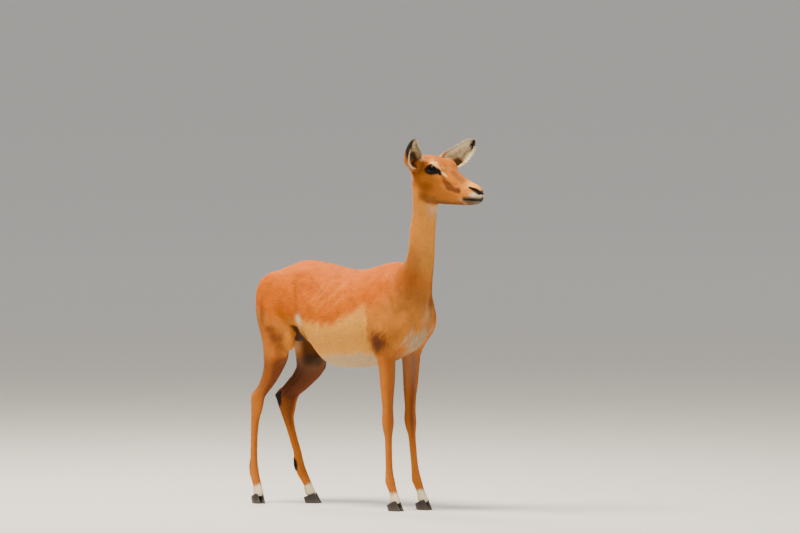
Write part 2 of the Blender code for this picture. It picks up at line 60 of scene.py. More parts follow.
Array = np.ndarray
Curve = Sequence[tuple[float, float, float]]


class Side(Enum):
    """A side of the animal, with the sign of its Y."""

    RIGHT = -1.0
    LEFT = 1.0

    @property
    def word(self) -> str:
        """The side's name in small letters."""
        return self.name.lower()


class Pair(Enum):
    """The front or the back legs."""

    FORE = "fore"
    HIND = "hind"


class Axis(Enum):
    """The axis that a loft runs along."""

    X = "X"
    Z = "Z"


# ---- numbers over points
def ease(low: float | Array, high: float | Array, value: Array) -> Array:
    """A smooth step from 0 at low to 1 at high.

    Args:
        low: where the step starts.
        high: where it ends; it may be below low, for a step down.
        value: the numbers to step on.

    Returns:
        The step at each number.
    """
    t = np.clip((value - low) / (high - low), 0.0, 1.0)
    return t * t * (3.0 - 2.0 * t)


def bell(distance: Array, width: float | Array) -> Array:
    """A soft hump that is 1 at distance 0 and small past the width."""
    return np.exp(-((distance / width) ** 2))


def most(*values: Array) -> Array:
    """The largest of the values at each point."""
    return functools.reduce(np.maximum, values)


def through(value: Array, *pairs: tuple[float, float]) -> Array:
    """Straight pieces through the pairs of place and height, read at each value."""
    places, heights = zip(*pairs)
    return np.interp(value, places, heights)


def full_turn(count: int) -> Array:
    """Even angles once round."""
    return np.linspace(0.0, 2.0 * math.pi, count, endpoint=False)


def unit(vectors: Array) -> Array:
    """The vectors at length 1."""
    return vectors / np.maximum(np.linalg.norm(vectors, axis=-1, keepdims=True), 1e-9)


def ripple(points: Array, size: float, seed: int) -> Array:
    """A smooth uneven field from -1 to 1.

    Args:
        points: where to read it.
        size: the distance between its hills, in metres.
        seed: which field it is.

    Returns:
        The field at each point.
    """
    rng = np.random.default_rng(seed)
    waves = unit(rng.normal(size=(7, 3))) * rng.uniform(0.6, 1.6, (7, 1)) * 2.0 * math.pi / size
    return np.clip(np.sin(points @ waves.T + rng.uniform(0, 2 * math.pi, 7)).mean(axis=1) * 2.2, -1.0, 1.0)


def from_curve(points: Array, curve: Curve) -> tuple[Array, Array]:
    """How far the points are from a curve of straight pieces.

    Args:
        points: the points.
        curve: the curve's corners.

    Returns:
        The distance of each point, and how far along the curve its nearest place is, from 0 to 1.
    """
    corners = np.array(curve, float)
    best = np.full(len(points), 9.0)
    share = np.zeros(len(points))
    for index, (start, end) in enumerate(zip(corners, corners[1:])):
        span = end - start
        t = np.clip((points - start) @ span / (span @ span), 0.0, 1.0)
        distance = np.linalg.norm(points - start - t[:, None] * span, axis=1)
        nearer = distance < best
        best[nearer] = distance[nearer]
        share[nearer] = (index + t[nearer]) / (len(corners) - 1)
    return best, share


def from_line(points: Array, curve: Curve, across: float) -> Array:
    """How far the points are from a curve once their distances across have been shrunk to a share."""
    return from_curve(points * (1.0, across, 1.0), curve)[0]


def from_ball(points: Array, centre: Sequence[float], radii: Sequence[float]) -> Array:
    """The distance from a ball's centre as a share of its three radii."""
    return np.linalg.norm((points - np.array(centre)) / np.array(radii), axis=1)


def mirrored(points: Array) -> Array:
    """The points with those of the right side folded over to the left."""
    return points * (1.0, 0.0, 1.0) + np.abs(points) * (0.0, 1.0, 0.0)


# ---- mesh helpers
def new_object(name: str, data: ID) -> Object:
    """The mesh, camera or light as an object in the scene."""
    made = bpy.data.objects.new(name, data)
    bpy.context.scene.collection.objects.link(made)
    return made


def mesh_of(name: str, points: Array, faces: Array) -> Mesh:
    """A smooth-shaded mesh of faces that all have the same number of corners.

    Args:
        name: the mesh's name.
        points: its vertices.
        faces: a row of vertex numbers for each face.

    Returns:
        The mesh.
    """
    mesh = bpy.data.meshes.new(name)
    count, corners = faces.shape
    mesh.vertices.add(len(points))
    mesh.vertices.foreach_set("co", np.ascontiguousarray(points, np.float32).ravel())
    mesh.loops.add(count * corners)
    mesh.loops.foreach_set("vertex_index", np.ascontiguousarray(faces, np.int32).ravel())
    mesh.polygons.add(count)
    mesh.polygons.foreach_set("loop_start", np.arange(0, count * corners, corners, dtype=np.int32))
    mesh.polygons.foreach_set("use_smooth", np.ones(count, bool))
    mesh.update(calc_edges=True)
    return mesh


def points_of(mesh: Mesh) -> Array:
    """The mesh's vertices as an array."""
    points = np.empty(len(mesh.vertices) * 3, np.float32)
    mesh.vertices.foreach_get("co", points)
    return points.reshape(-1, 3).astype(float)


def normals_of(mesh: Mesh) -> Array:
    """The mesh's vertex normals as an array."""
    normals = np.empty(len(mesh.vertices) * 3, np.float32)
    mesh.vertex_normals.foreach_get("vector", normals)
    return normals.reshape(-1, 3).astype(float)


def move_to(mesh: Mesh, points: Array) -> None:
    """Puts the mesh's vertices at the points."""
    mesh.vertices.foreach_set("co", np.ascontiguousarray(points, np.float32).ravel())
    mesh.update()


def keep_evaluated(made: Object) -> None:
    """Applies the object's modifiers to its mesh."""
    graph = bpy.context.evaluated_depsgraph_get()
    mesh = bpy.data.meshes.new_from_object(made.evaluated_get(graph))
    made.modifiers.clear()
    made.data = mesh


def note(mesh: Mesh, name: str, values: Array) -> None:
    """Stores three numbers on each vertex under a name that a material can read."""
    layer = mesh.attributes.new(name, "FLOAT_VECTOR", "POINT")
    layer.data.foreach_set("vector", np.ascontiguousarray(values, np.float32).ravel())


def faced_out(made: Object) -> Object:
    """The closed object with all its faces looking outwards."""
    bm = bmesh.new()
    bm.from_mesh(made.data)
    bmesh.ops.recalc_face_normals(bm, faces=bm.faces)
    bm.to_mesh(made.data)
    bm.free()
    return made


def wrapped(rows: int, around: int, closed: bool = False) -> Array:
    """The faces between rings of points.

    Args:
        rows: how many rings there are.
        around: how many points each has.
        closed: whether the last ring is joined to the first.

    Returns:
        Four point numbers for each face.
    """
    one, other = np.meshgrid(np.arange(rows if closed else rows - 1), np.arange(around), indexing="ij")
    start, after, beside = one * around, (one + 1) % rows * around, (other + 1) % around
    return np.stack((start + other, start + beside, after + beside, after + other), axis=-1).reshape(-1, 4)


def halved(quads: Array) -> Array:
    """The two triangles of each face with four corners."""
    return quads[:, (0, 1, 2, 0, 2, 3)].reshape(-1, 3)


def swept(line: Array, radii: Array, up: Array, sides: int, closed: bool) -> tuple:
    """A round tube along a line.

    Args:
        line: the points that it follows.
        radii: its radius at each of them.
        up: a direction at each of them that isn't along the line.
        sides: how many sides it has.
        closed: whether its end runs into its start.

    Returns:
        Its vertices and its triangles.
    """
    ahead = np.roll(line, -1, axis=0) - np.roll(line, 1, axis=0) if closed else np.gradient(line, axis=0)
    ahead = unit(ahead)
    side = unit(np.cross(ahead, up))
    lift = np.cross(side, ahead)
    turn = full_turn(sides)
    ring = np.cos(turn)[None, :, None] * side[:, None] + np.sin(turn)[None, :, None] * lift[:, None]
    points = (line[:, None] + ring * radii[:, None, None]).reshape(-1, 3)
    return points, halved(wrapped(len(line), sides, closed))


# ---- shader expressions
@dataclass(frozen=True)
class Wire:
    """An output socket of a material. Python's operators on it add the nodes that work them out."""

    graph: "Graph"
    socket: NodeSocket

    def _with(self, operation: str, *values: "Wire | float") -> "Wire":
        """A Math node on the values."""
        return self.graph.node("ShaderNodeMath", {"operation": operation}, dict(enumerate(values)))[0]

    def __add__(self, other: "Wire | float") -> "Wire":
        """The sum."""
        return self._with("ADD", self, other)

    def __sub__(self, other: "Wire | float") -> "Wire":
        """The difference."""
        return self._with("SUBTRACT", self, other)

    def __mul__(self, other: "Wire | float") -> "Wire":
        """The product."""
        return self._with("MULTIPLY", self, other)

    def __rsub__(self, other: float) -> "Wire":
        """The difference from a number."""
        return self._with("SUBTRACT", other, self)

    __radd__ = __add__
    __rmul__ = __mul__

    def power(self, exponent: float) -> "Wire":
        """The value raised to a power."""
        return self._with("POWER", self, exponent)

    def between(self, low: float, high: float) -> "Wire":
        """A smooth step from 0 at low to 1 at high."""
        inputs = {"Value": self, "From Min": low, "From Max": high}
        return self.graph.node("ShaderNodeMapRange", {"interpolation_type": "SMOOTHSTEP"}, inputs)[0]

    def mix(self, first: "Wire | tuple", second: "Wire | tuple") -> "Wire":
        """The first colour where this value is 0 and the second where it is 1."""
        settings = {"data_type": "RGBA"}
        return self.graph.node("ShaderNodeMix", settings, {0: self, 6: first, 7: second})[2]

    def times(self, colour: "Wire | tuple") -> "Wire":
        """The colour made brighter or darker by this value."""
        return self.graph.node("ShaderNodeVectorMath", {"operation": "SCALE"}, {0: colour, "Scale": self})[0]


class Graph:
    """A material's node tree, built from code."""

    def __init__(self, name: str) -> None:
        """Starts an empty material with that name."""
        self.material = bpy.data.materials.new(name)
        self.material.use_nodes = True
        self.tree = self.material.node_tree
        self.tree.nodes.clear()

    def node(self, kind: str, settings: dict, inputs: dict) -> list[Wire]:
        """Adds a node.

        Args:
            kind: the node's type.
            settings: its own properties, set first.
            inputs: a value or a wire for each of its sockets, by name or number.

        Returns:
            Its output sockets.
        """
        made = self.tree.nodes.new(kind)
        for name, value in settings.items():
            setattr(made, name, value)
        for name, value in inputs.items():
            socket = made.inputs[name]
            if isinstance(value, Wire):
                self.tree.links.new(value.socket, socket)
            elif isinstance(value, tuple) and len(socket.default_value) == 4:
                socket.default_value = (*value, 1.0)
            else:
                socket.default_value = value
        return [Wire(self, socket) for socket in made.outputs]

    def noted(self, name: str) -> list[Wire]:
        """The three numbers that the mesh holds under a name."""
        attribute = self.node("ShaderNodeAttribute", {"attribute_name": name}, {})
        return self.node("ShaderNodeSeparateXYZ", {}, {0: attribute[1]})

    def noise(self, place: Wire, size: float, detail: float = 2.0) -> Wire:
        """Smooth noise from 0 to 1 whose lumps are about size metres across."""
        inputs = {"Vector": place, "Scale": 1.0 / size, "Detail": detail, "Roughness": 0.55}
        return self.node("ShaderNodeTexNoise", {}, inputs)[0]

    def stretched(self, place: Wire, factors: tuple[float, float, float]) -> Wire:
        """The place with each axis multiplied."""
        return self.node("ShaderNodeVectorMath", {"operation": "MULTIPLY"}, {0: place, 1: factors})[0]

    def place(self) -> Wire:
        """The object's own coordinates."""
        return self.node("ShaderNodeTexCoord", {}, {})[3]

    def finish(self, inputs: dict, bump: Wire | None = None, depth: float = 0.0005) -> Material:
        """Ends the material in one Principled shader.

        Args:
            inputs: the shader's sockets.
            bump: a height from 0 to 1, if the surface has relief.
            depth: the height that 1 stands for, in metres.

        Returns:
            The material.
        """
        if bump is not None:
            relief = self.node("ShaderNodeBump", {}, {"Height": bump, "Distance": depth, "Strength": 1.0})[0]
            inputs = {**inputs, "Normal": relief}
        shader = self.node("ShaderNodeBsdfPrincipled", {}, inputs)[0]
        self.node("ShaderNodeOutputMaterial", {}, {"Surface": shader})
        return self.material


# ---- finishes
@dataclass(frozen=True)
class CoatFinish:
    """The coat's hair and the skin under it, in the tones that the mesh names on each vertex."""

    fawn: tuple = (0.6, 0.21, 0.028)
    saddle: tuple = (0.6, 0.126, 0.001)
    # rust and black are the coat's own dark tones; the markings also lay them where shade is painted
    rust: tuple = (0.165, 0.044, 0.014)
    cream: tuple = (0.9, 0.41, 0.07)
    white: tuple = (0.8, 0.68, 0.44)
    black: tuple = (0.014, 0.011, 0.01)
    bare: tuple = (0.03, 0.022, 0.02)
    hair: float = 0.0007  # the width of one streak in the relief
    streak: float = 14.0  # how many times longer than wide it is

    def material(self, relief: bool) -> Material:
        """The coat's material.

        Args:
            relief: whether fine hair is raised on it, as on the skin between the tufts.

        Returns:
            The material.
        """
        graph = Graph("coat_skin" if relief else "coat_tufts")
        saddle, rust, cream = graph.noted("tones")
        white, black, bare = graph.noted("marks")
        tip, tint, _ = graph.noted("strand")
        colour = self.fawn
        for share, tone in (
            (saddle, self.saddle), (cream, self.cream), (rust, self.rust),
            (white, self.white), (black, self.black), (bare, self.bare),
        ):
            colour = share.mix(colour, tone)
        place = graph.place()
        uneven = graph.noise(place, 0.035)
        shade = 0.8 + tip * 0.24 + (tint - 0.5) * 0.26 + (uneven - 0.5) * 0.22
        inputs = {
            "Roughness": 0.62 - bare * 0.2,
            "Specular IOR Level": 0.06,
            "Sheen Weight": 0.03,
            "Sheen Roughness": 0.4,
            "Sheen Tint": (1.0, 0.55, 0.22),
        }
        if not relief:
            return graph.finish({**inputs, "Base Color": shade.times(colour)})
        along, down, _ = graph.noted("lie")
        fine = 1.0 / self.hair
        level = graph.noise(graph.stretched(place, (fine / self.streak, fine, fine)), 1.0)
        upright = graph.noise(graph.stretched(place, (fine, fine, fine / self.streak)), 1.0)
        hair = level * along + upright * down
        shade = shade * (0.86 + hair * 0.22)
        return graph.finish({**inputs, "Base Color": shade.times(colour)}, bump=hair, depth=0.0006)


@dataclass(frozen=True)
class HornFinish:
    """The dark horn of the claws, with growth rings and a worn edge near the floor."""

    dark: tuple = (0.02, 0.016, 0.014)
    worn: tuple = (0.085, 0.068, 0.052)
    ring: float = 0.0022

    def material(self) -> Material:
        """The horn's material."""
        graph = Graph("horn")
        place = graph.place()
        height = graph.node("ShaderNodeSeparateXYZ", {}, {0: place})[2]
        rings = graph.noise(graph.stretched(place, (40.0, 40.0, 1.0 / self.ring)), 1.0)
        scuffs = graph.noise(place, 0.006, detail=5.0)
        worn = (1.0 - height.between(0.002, 0.02)) * 0.55 + scuffs.between(0.52, 0.75) * 0.35
        colour = worn.mix(self.dark, self.worn)
        return graph.finish(
            {"Base Color": colour, "Roughness": 0.36 + scuffs * 0.25, "Specular IOR Level": 0.45},
            bump=rings * 0.7 + scuffs * 0.3,
            depth=0.0005,
        )


@dataclass(frozen=True)
class LidFinish:
    """The bare black skin of the eyelids' edges and the lashes."""

    colour: tuple = (0.005, 0.004, 0.004)
    pore: float = 0.0009

    def material(self) -> Material:
        """The lids' material."""
        graph = Graph("lid_skin")
        pores = graph.noise(graph.place(), self.pore, detail=3.0)
        colour, rough = (0.7 + pores * 0.6).times(self.colour), 0.45 + pores * 0.2
        inputs = {"Base Color": colour, "Roughness": rough, "Specular IOR Level": 0.1}
        return graph.finish(inputs, bump=pores, depth=0.0002)


@dataclass(frozen=True)
class EyeFinish:
    """A wet dark-brown eye with a long level pupil."""

    iris: tuple = (0.007, 0.004, 0.003)
    rim: tuple = (0.003, 0.003, 0.003)
    pupil: tuple = (0.002, 0.002, 0.003)

    def material(self) -> Material:
        """The eyeball's material; its mesh notes how far each vertex is in the pupil and past the iris."""
        graph = Graph("eye_wet")
        pupil, edge, _ = graph.noted("eye")
        fibres = graph.noise(graph.place(), 0.0012, detail=4.0)
        iris = (0.65 + fibres * 0.8).times(self.iris)
        colour = edge.mix(iris, self.rim)
        colour = pupil.mix(colour, self.pupil)
        inputs = {
            "Base Color": colour,
            "Roughness": 0.12,
            "Specular IOR Level": 0.06,
            "Coat Weight": 0.05,
            "Coat Roughness": 0.03,
            "Coat IOR": 1.34,
        }
        return graph.finish(inputs)


@dataclass(frozen=True)
class StageFinish:
    """The plain pale floor."""

    colour: tuple = (0.62, 0.61, 0.59)
    far: tuple = (0.97, 0.97, 0.97)  # as bright as the air behind it, so that no edge shows

    def material(self) -> Material:
        """The floor's material."""
        graph = Graph("pale_floor")
        place = graph.place()
        grain = graph.noise(place, 0.4)
        shade = 0.98 + grain * 0.04
        away = graph.node("ShaderNodeVectorMath", {"operation": "LENGTH"}, {0: place})[1]
        colour = away.between(3.0, 16.0).mix(shade.times(self.colour), self.far)
        return graph.finish({"Base Color": colour, "Roughness": 0.85, "Specular IOR Level": 0.1})


# ---- the forms under the skin
class Section(NamedTuple):
    """A cross-section: its place along the loft, the ends of its long axis, and three half-widths."""

    place: float
    first: float
    second: float
    upper: float
    middle: float
    lower: float
    offset: float = 0.0  # its middle's distance from the midline


def sections_mm(*rows: tuple[float, ...]) -> tuple[Section, ...]:
    """Cross-sections from rows in millimetres."""
    return tuple(Section(*(value / 1000 for value in row)) for row in rows)


def curve_mm(*corners: tuple[float, float, float]) -> Curve:
    """A curve from corners in millimetres."""
    return tuple(tuple(value / 1000 for value in corner) for corner in corners)


class Swelling(NamedTuple):
    """A muscle or bone on both sides: its centre, its radii, and its turn about Y in degrees."""

    centre: tuple[float, float, float]
    radii: tuple[float, float, float]
    turn: float


TRUNK = sections_mm(
    (-359, 738, 684, 22, 30, 22),  # the rump's end
    (-350, 757, 648, 42, 54, 44),
    (-326, 773, 605, 60, 77, 66),
    (-290, 784, 570, 72, 93, 80),
    (-230, 803, 548, 82, 101, 85),
    (-170, 821, 550, 86, 104, 84),  # the croup
    (-110, 821, 526, 87, 109, 88),
    (-40, 812, 477, 92, 120, 113),
    (40, 800, 467, 94, 126, 120),  # the belly
    (100, 800, 471, 91, 122, 112),
    (160, 815, 480, 83, 112, 98),
    (215, 830, 492, 68, 103, 85),  # the withers
    (265, 832, 508, 60, 98, 75),
    (310, 815, 530, 60, 88, 66),
    (345, 780, 562, 52, 70, 52),
    (370, 730, 608, 34, 46, 33),
    (380, 700, 645, 15, 20, 15),  # the breast
)
NECK = sections_mm(
    (640, 372, 240, 50, 75, 60),  # its root in the trunk
    (700, 383, 235, 53, 74, 55),
    (760, 391, 245, 48, 65, 48),
    (810, 398, 268, 42, 54, 38),
    (850, 403, 290, 37, 46, 32),
    (900, 406, 298, 34, 41, 29),
    (940, 408, 302, 33, 39, 28),
    (1000, 416, 313, 32, 37, 27),
    (1050, 425, 313, 33, 39, 28),
    (1100, 428, 311, 33, 40, 30),
    (1140, 420, 319, 28, 34, 26),  # inside the skull
)
HEAD = sections_mm(  # in the head's own frame
    (247.5, 1069, 1047, 9, 10.5, 8),  # the lips' front
    (243, 1084, 1040, 12, 14.5, 11),
    (233, 1093, 1035, 16.2, 18.2, 14.5),
    (220, 1100, 1032, 18.5, 20.8, 17),  # the nostrils
    (200, 1108, 1029, 19.5, 22.5, 18.5),
    (175, 1120, 1027.5, 20, 24, 19.5),
    (149, 1135, 1027.5, 22.5, 26, 19.5),
    (121, 1154, 1027, 29.5, 30, 21),
    (95, 1171, 1026.5, 38, 37.5, 24),  # the cheeks
    (68, 1182.5, 1026.5, 45, 43, 26),
    (42, 1189, 1028, 45, 45.5, 29),
    (15, 1192.2, 1031, 43, 46.5, 32),
    (-11, 1190.8, 1040, 39, 45, 33),  # the poll
    (-31, 1182.5, 1060, 34, 41, 30),
    (-46, 1170, 1094, 25, 31, 24),
    (-54, 1153, 1114, 12, 16, 12),
)
FORE_LEG = sections_mm(
    (660, 352, 190, 30, 40, 30, 60),
    (600, 340, 188, 30, 42, 34, 63),
    (560, 316, 192, 28, 39, 34, 65),
    (530, 292, 205, 26, 34, 30, 64),  # the elbow
    (500, 286, 214, 24.5, 30, 26, 62),
    (460, 283, 219, 22, 26.5, 22, 60),
    (420, 280, 221, 19.5, 23, 18, 59),
    (380, 275, 225, 16.5, 19.5, 15.5, 58),
    (340, 272, 230, 15.5, 17.5, 14.5, 57.5),
    (315, 273.5, 229, 16.5, 19, 16.5, 57.5),
    (292, 275, 229.5, 16.5, 19, 16.5, 57.5),  # the knee
    (268, 271.5, 234, 14, 15.5, 14, 57.5),
    (245, 268.5, 240.5, 11.5, 12.5, 11.5, 57.5),
    (190, 269, 242.5, 10.8, 11.8, 10.8, 57.5),
    (140, 271.5, 244, 11.2, 12.2, 11.2, 57.5),
    (115, 276, 243.5, 13, 14.8, 13.2, 57.5),
    (96, 281, 244, 14.5, 16.5, 14.8, 57.5),  # the fetlock
    (78, 286, 252, 14, 15.5, 13, 57.5),
    (58, 293, 262, 14, 15.5, 12.5, 57.5),
    (36, 303.5, 266, 15.8, 18.2, 16.2, 57.5),  # the coronet
    (24, 299, 270, 12, 13.5, 12, 57.5),
)
HIND_LEG = sections_mm(
    (740, -200, -322, 30, 38, 30, 52),
    (700, -168, -338, 30, 42, 34, 60),
    (650, -152, -338, 30, 44, 36, 63),
    (600, -150, -326, 30, 43, 35, 64),
    (560, -162, -312, 28, 40, 33, 66),  # the stifle
    (522, -178, -304, 25.5, 36, 30, 68),
    (488, -180, -306, 22.5, 32, 25, 70),
    (456, -196, -312, 18.5, 27, 20, 70),
    (424, -218, -328, 16.5, 22.5, 14, 69),
    (392, -246, -349, 16, 20.2, 11.5, 68),
    (375, -264, -367, 16, 19.8, 11.8, 68),  # the point of the hock
    (360, -281, -373, 16.2, 19.6, 12.5, 68),
    (343, -292, -368, 16.5, 19.2, 14, 68),
    (326, -298, -364, 15.8, 18, 14.2, 67.5),
    (308, -306, -362, 14.5, 16.5, 13.5, 67),
    (285, -318, -360, 13, 14.2, 12.2, 67),
    (250, -326, -359, 11.5, 12.5, 11.2, 67),
    (200, -330, -360, 11, 11.8, 11, 67),
    (150, -330.5, -361, 11.5, 12.5, 11.5, 67),
    (122, -328, -362.5, 13, 14.8, 13.2, 67),
    (102, -324.5, -363.5, 14.5, 16.5, 14.8, 67),  # the fetlock
    (82, -319, -356, 14, 15.5, 13, 67),
    (58, -313, -346, 14, 15.5, 12.5, 67),
    (36, -305.5, -344, 16.2, 18.5, 16.5, 67),  # the coronet
    (24, -308, -339, 12, 13.5, 12, 67),
)
TAIL = sections_mm(
    (757, -332, -358, 12, 16, 12),
    (738, -346, -371, 12, 18, 13),
    (700, -360, -383, 11, 18, 13),
    (655, -355, -378, 10, 19, 14),
    (615, -344, -367, 10, 20, 15),
    (575, -333, -356, 10, 20, 15),
    (540, -329, -350, 8, 16, 11),
    (515, -331, -346, 4, 7, 5),
)
MUSCLES = (
    Swelling((0.27, 0.046, 0.69), (0.055, 0.038, 0.11), -20.0),  # shoulder blade
    Swelling((0.322, 0.054, 0.645), (0.042, 0.032, 0.055), 0.0),  # point of the shoulder
    Swelling((0.285, 0.068, 0.6), (0.085, 0.031, 0.045), -42.0),  # upper arm
    Swelling((0.228, 0.064, 0.595), (0.05, 0.034, 0.07), 20.0),  # triceps
    Swelling((0.213, 0.064, 0.532), (0.016, 0.014, 0.026), 15.0),  # elbow
    Swelling((-0.235, 0.052, 0.7), (0.105, 0.048, 0.085), 10.0),  # haunch
    Swelling((-0.128, 0.056, 0.772), (0.036, 0.02, 0.026), 0.0),  # point of the hip
    Swelling((-0.184, 0.074, 0.562), (0.028, 0.022, 0.045), -15.0),  # stifle
)
HEAD_MUSCLES = (  # in the head's own frame
    Swelling((0.067, 0.031, 1.147), (0.032, 0.021, 0.025), 10.0),  # orbit
    Swelling((0.082, 0.027, 1.161), (0.034, 0.018, 0.016), 32.0),  # brow
    Swelling((0.028, 0.026, 1.083), (0.042, 0.021, 0.045), 0.0),  # jaw muscle
    Swelling((-0.002, 0.034, 1.158), (0.024, 0.023, 0.026), 0.0),  # the ear's bulb
)
FORWARD_CARRIED = ((0.0, 0.024), (0.1, 0.016), (0.3, -0.003), (0.6, 0.0))
STEPPED_UNDER = (
    (0.0, 0.122), (0.06, 0.108), (0.12, 0.089), (0.173, 0.075), (0.23, 0.05), (0.29, 0.025), (0.325, 0.014),
    (0.36, 0.009), (0.39, 0.022), (0.424, 0.037), (0.456, 0.044), (0.488, 0.034), (0.53, 0.016), (0.62, 0.0),
)
TOES_OUT = ((0.39, 22.0), (0.55, 3.0), (0.6, 0.0))  # degrees by height


@dataclass(frozen=True)
class Leg:
    """One leg and how it is carried."""

    pair: Pair
    side: Side

    @property
    def name(self) -> str:
        """The leg's name, as its node has it."""
        return f"{self.pair.value}_{self.side.word}"

    @property
    def sections(self) -> tuple[Section, ...]:
        """The leg's cross-sections, on its own side."""
        table = FORE_LEG if self.pair is Pair.FORE else HIND_LEG
        return tuple(s._replace(offset=s.offset * self.side.value) for s in table)

    def turn(self, height: Array) -> Array:
        """How far the toes point outwards at a height, in radians."""
        if self.pair is Pair.FORE:
            return np.zeros_like(height, float)
        return np.radians(through(height, *TOES_OUT)) * self.side.value

    def lean(self, height: Array) -> Array:
        """How far forward the leg is carried at a height."""
        if self.side is Side.RIGHT:
            return np.zeros_like(height, float)
        return through(height, *(FORWARD_CARRIED if self.pair is Pair.FORE else STEPPED_UNDER))

    def middle(self, height: Array) -> tuple[Array, Array]:
        """The middle of the leg at a height, before it is carried forward."""
        rows = sorted(self.sections)
        places = [s.place for s in rows]
        x = np.interp(height, places, [(s.first + s.second) / 2 for s in rows])
        y = np.interp(height, places, [s.offset for s in rows])
        return x, y

    def pose(self, points: Array, x: Array, y: Array) -> Array:
        """Carries points of the leg to where they stand.

        Args:
            points: the points, as the sections have them.
            x: the middle that each of them turns about.
            y: the same, across.

        Returns:
            The points in the animal's frame.
        """
        angle = self.turn(points[..., 2])
        ahead, across = points[..., 0] - x, points[..., 1] - y
        moved = points.copy()
        moved[..., 0] = x + ahead * np.cos(angle) - across * np.sin(angle) + self.lean(points[..., 2])
        moved[..., 1] = y + ahead * np.sin(angle) + across * np.cos(angle)
        return moved

    def own(self, points: Array) -> Array:
        """The points as seen from the leg's middle at their height: ahead, outwards and up."""
        x, y = self.middle(points[:, 2])
        angle = self.turn(points[:, 2])
        dx, dy = points[:, 0] - x - self.lean(points[:, 2]), points[:, 1] - y
        ahead = dx * np.cos(angle) + dy * np.sin(angle)
        outward = (dy * np.cos(angle) - dx * np.sin(angle)) * self.side.value
        return np.stack((ahead, outward, points[:, 2]), axis=1)


LEGS = tuple(Leg(pair, side) for pair in Pair for side in Side)


def smooth_rows(rows: Array, step: float) -> Array:
    """Puts more rows between the given ones, on smooth curves.

    Args:
        rows: numbers whose first column always rises or always falls.
        step: about how far apart that column's numbers are to be.

    Returns:
        The denser rows.
    """
    padded = np.vstack([2 * rows[0] - rows[1], rows, 2 * rows[-1] - rows[-2]])
    dense = []
    for before, start, end, after in zip(padded, padded[1:], padded[2:], padded[3:]):
        span = end[0] - start[0]
        out_slope = (end - before) / (end[0] - before[0]) * span
        in_slope = (after - start) / (after[0] - start[0]) * span
        count = max(1, round(abs(span) / step))
        for t in np.arange(count) / count:
            eased = t * t * (3 - 2 * t)
            pull = out_slope * (t * (1 - t) ** 2) - in_slope * (t * t * (1 - t))
            dense.append(start + (end - start) * eased + pull)
    return np.vstack([dense, rows[-1]])


def loft(
    sections: Sequence[Section],
    axis: Axis,
    step: float = 0.004,
    points: int = 33,
    fullness: float = 0.75,
    pose: Callable[[Array, Array, Array], Array] | None = None,
) -> tuple[Array, list]:
    """A closed tube through cross-sections.

    Args:
        sections: the cross-sections, from one end to the other.
        axis: what it runs along.
        step: about how far apart its rings are.
        points: how many points half a ring has.
        fullness: under 1, the rings are squarer than an ellipse.
        pose: how its points are carried, if it is a leg.

    Returns:
        Its vertices and its faces.
    """
    rows = smooth_rows(np.array(sections), step)
    place, first, second, upper, middle, lower, offset = rows.T[:, :, None]
    angle = np.linspace(0.0, math.pi, points)
    quarter = (angle - math.pi / 2) / (math.pi / 4)
    width = middle + quarter * (lower - upper) / 2 + quarter**2 * ((upper + lower) / 2 - middle)
    width = np.maximum(width, 0.15 * middle) * np.sin(angle).clip(0.0) ** fullness
    along = (first + second) / 2 + (first - second) / 2 * np.cos(angle)
    along = np.hstack([along, along[:, -2:0:-1]])
    across = np.hstack([offset + width, offset - width[:, -2:0:-1]])
    level = np.broadcast_to(place, along.shape)
    rings = np.stack((level, across, along) if axis is Axis.X else (along, across, level), axis=-1)
    if pose:
        rings = pose(rings, (first + second) / 2, offset)
    count, around = along.shape
    faces = wrapped(count, around)[:, ::-1].tolist()
    faces.append(tuple(range(around)))
    faces.append(tuple(range((count - 1) * around, count * around))[::-1])
    return rings.reshape(-1, 3), faces


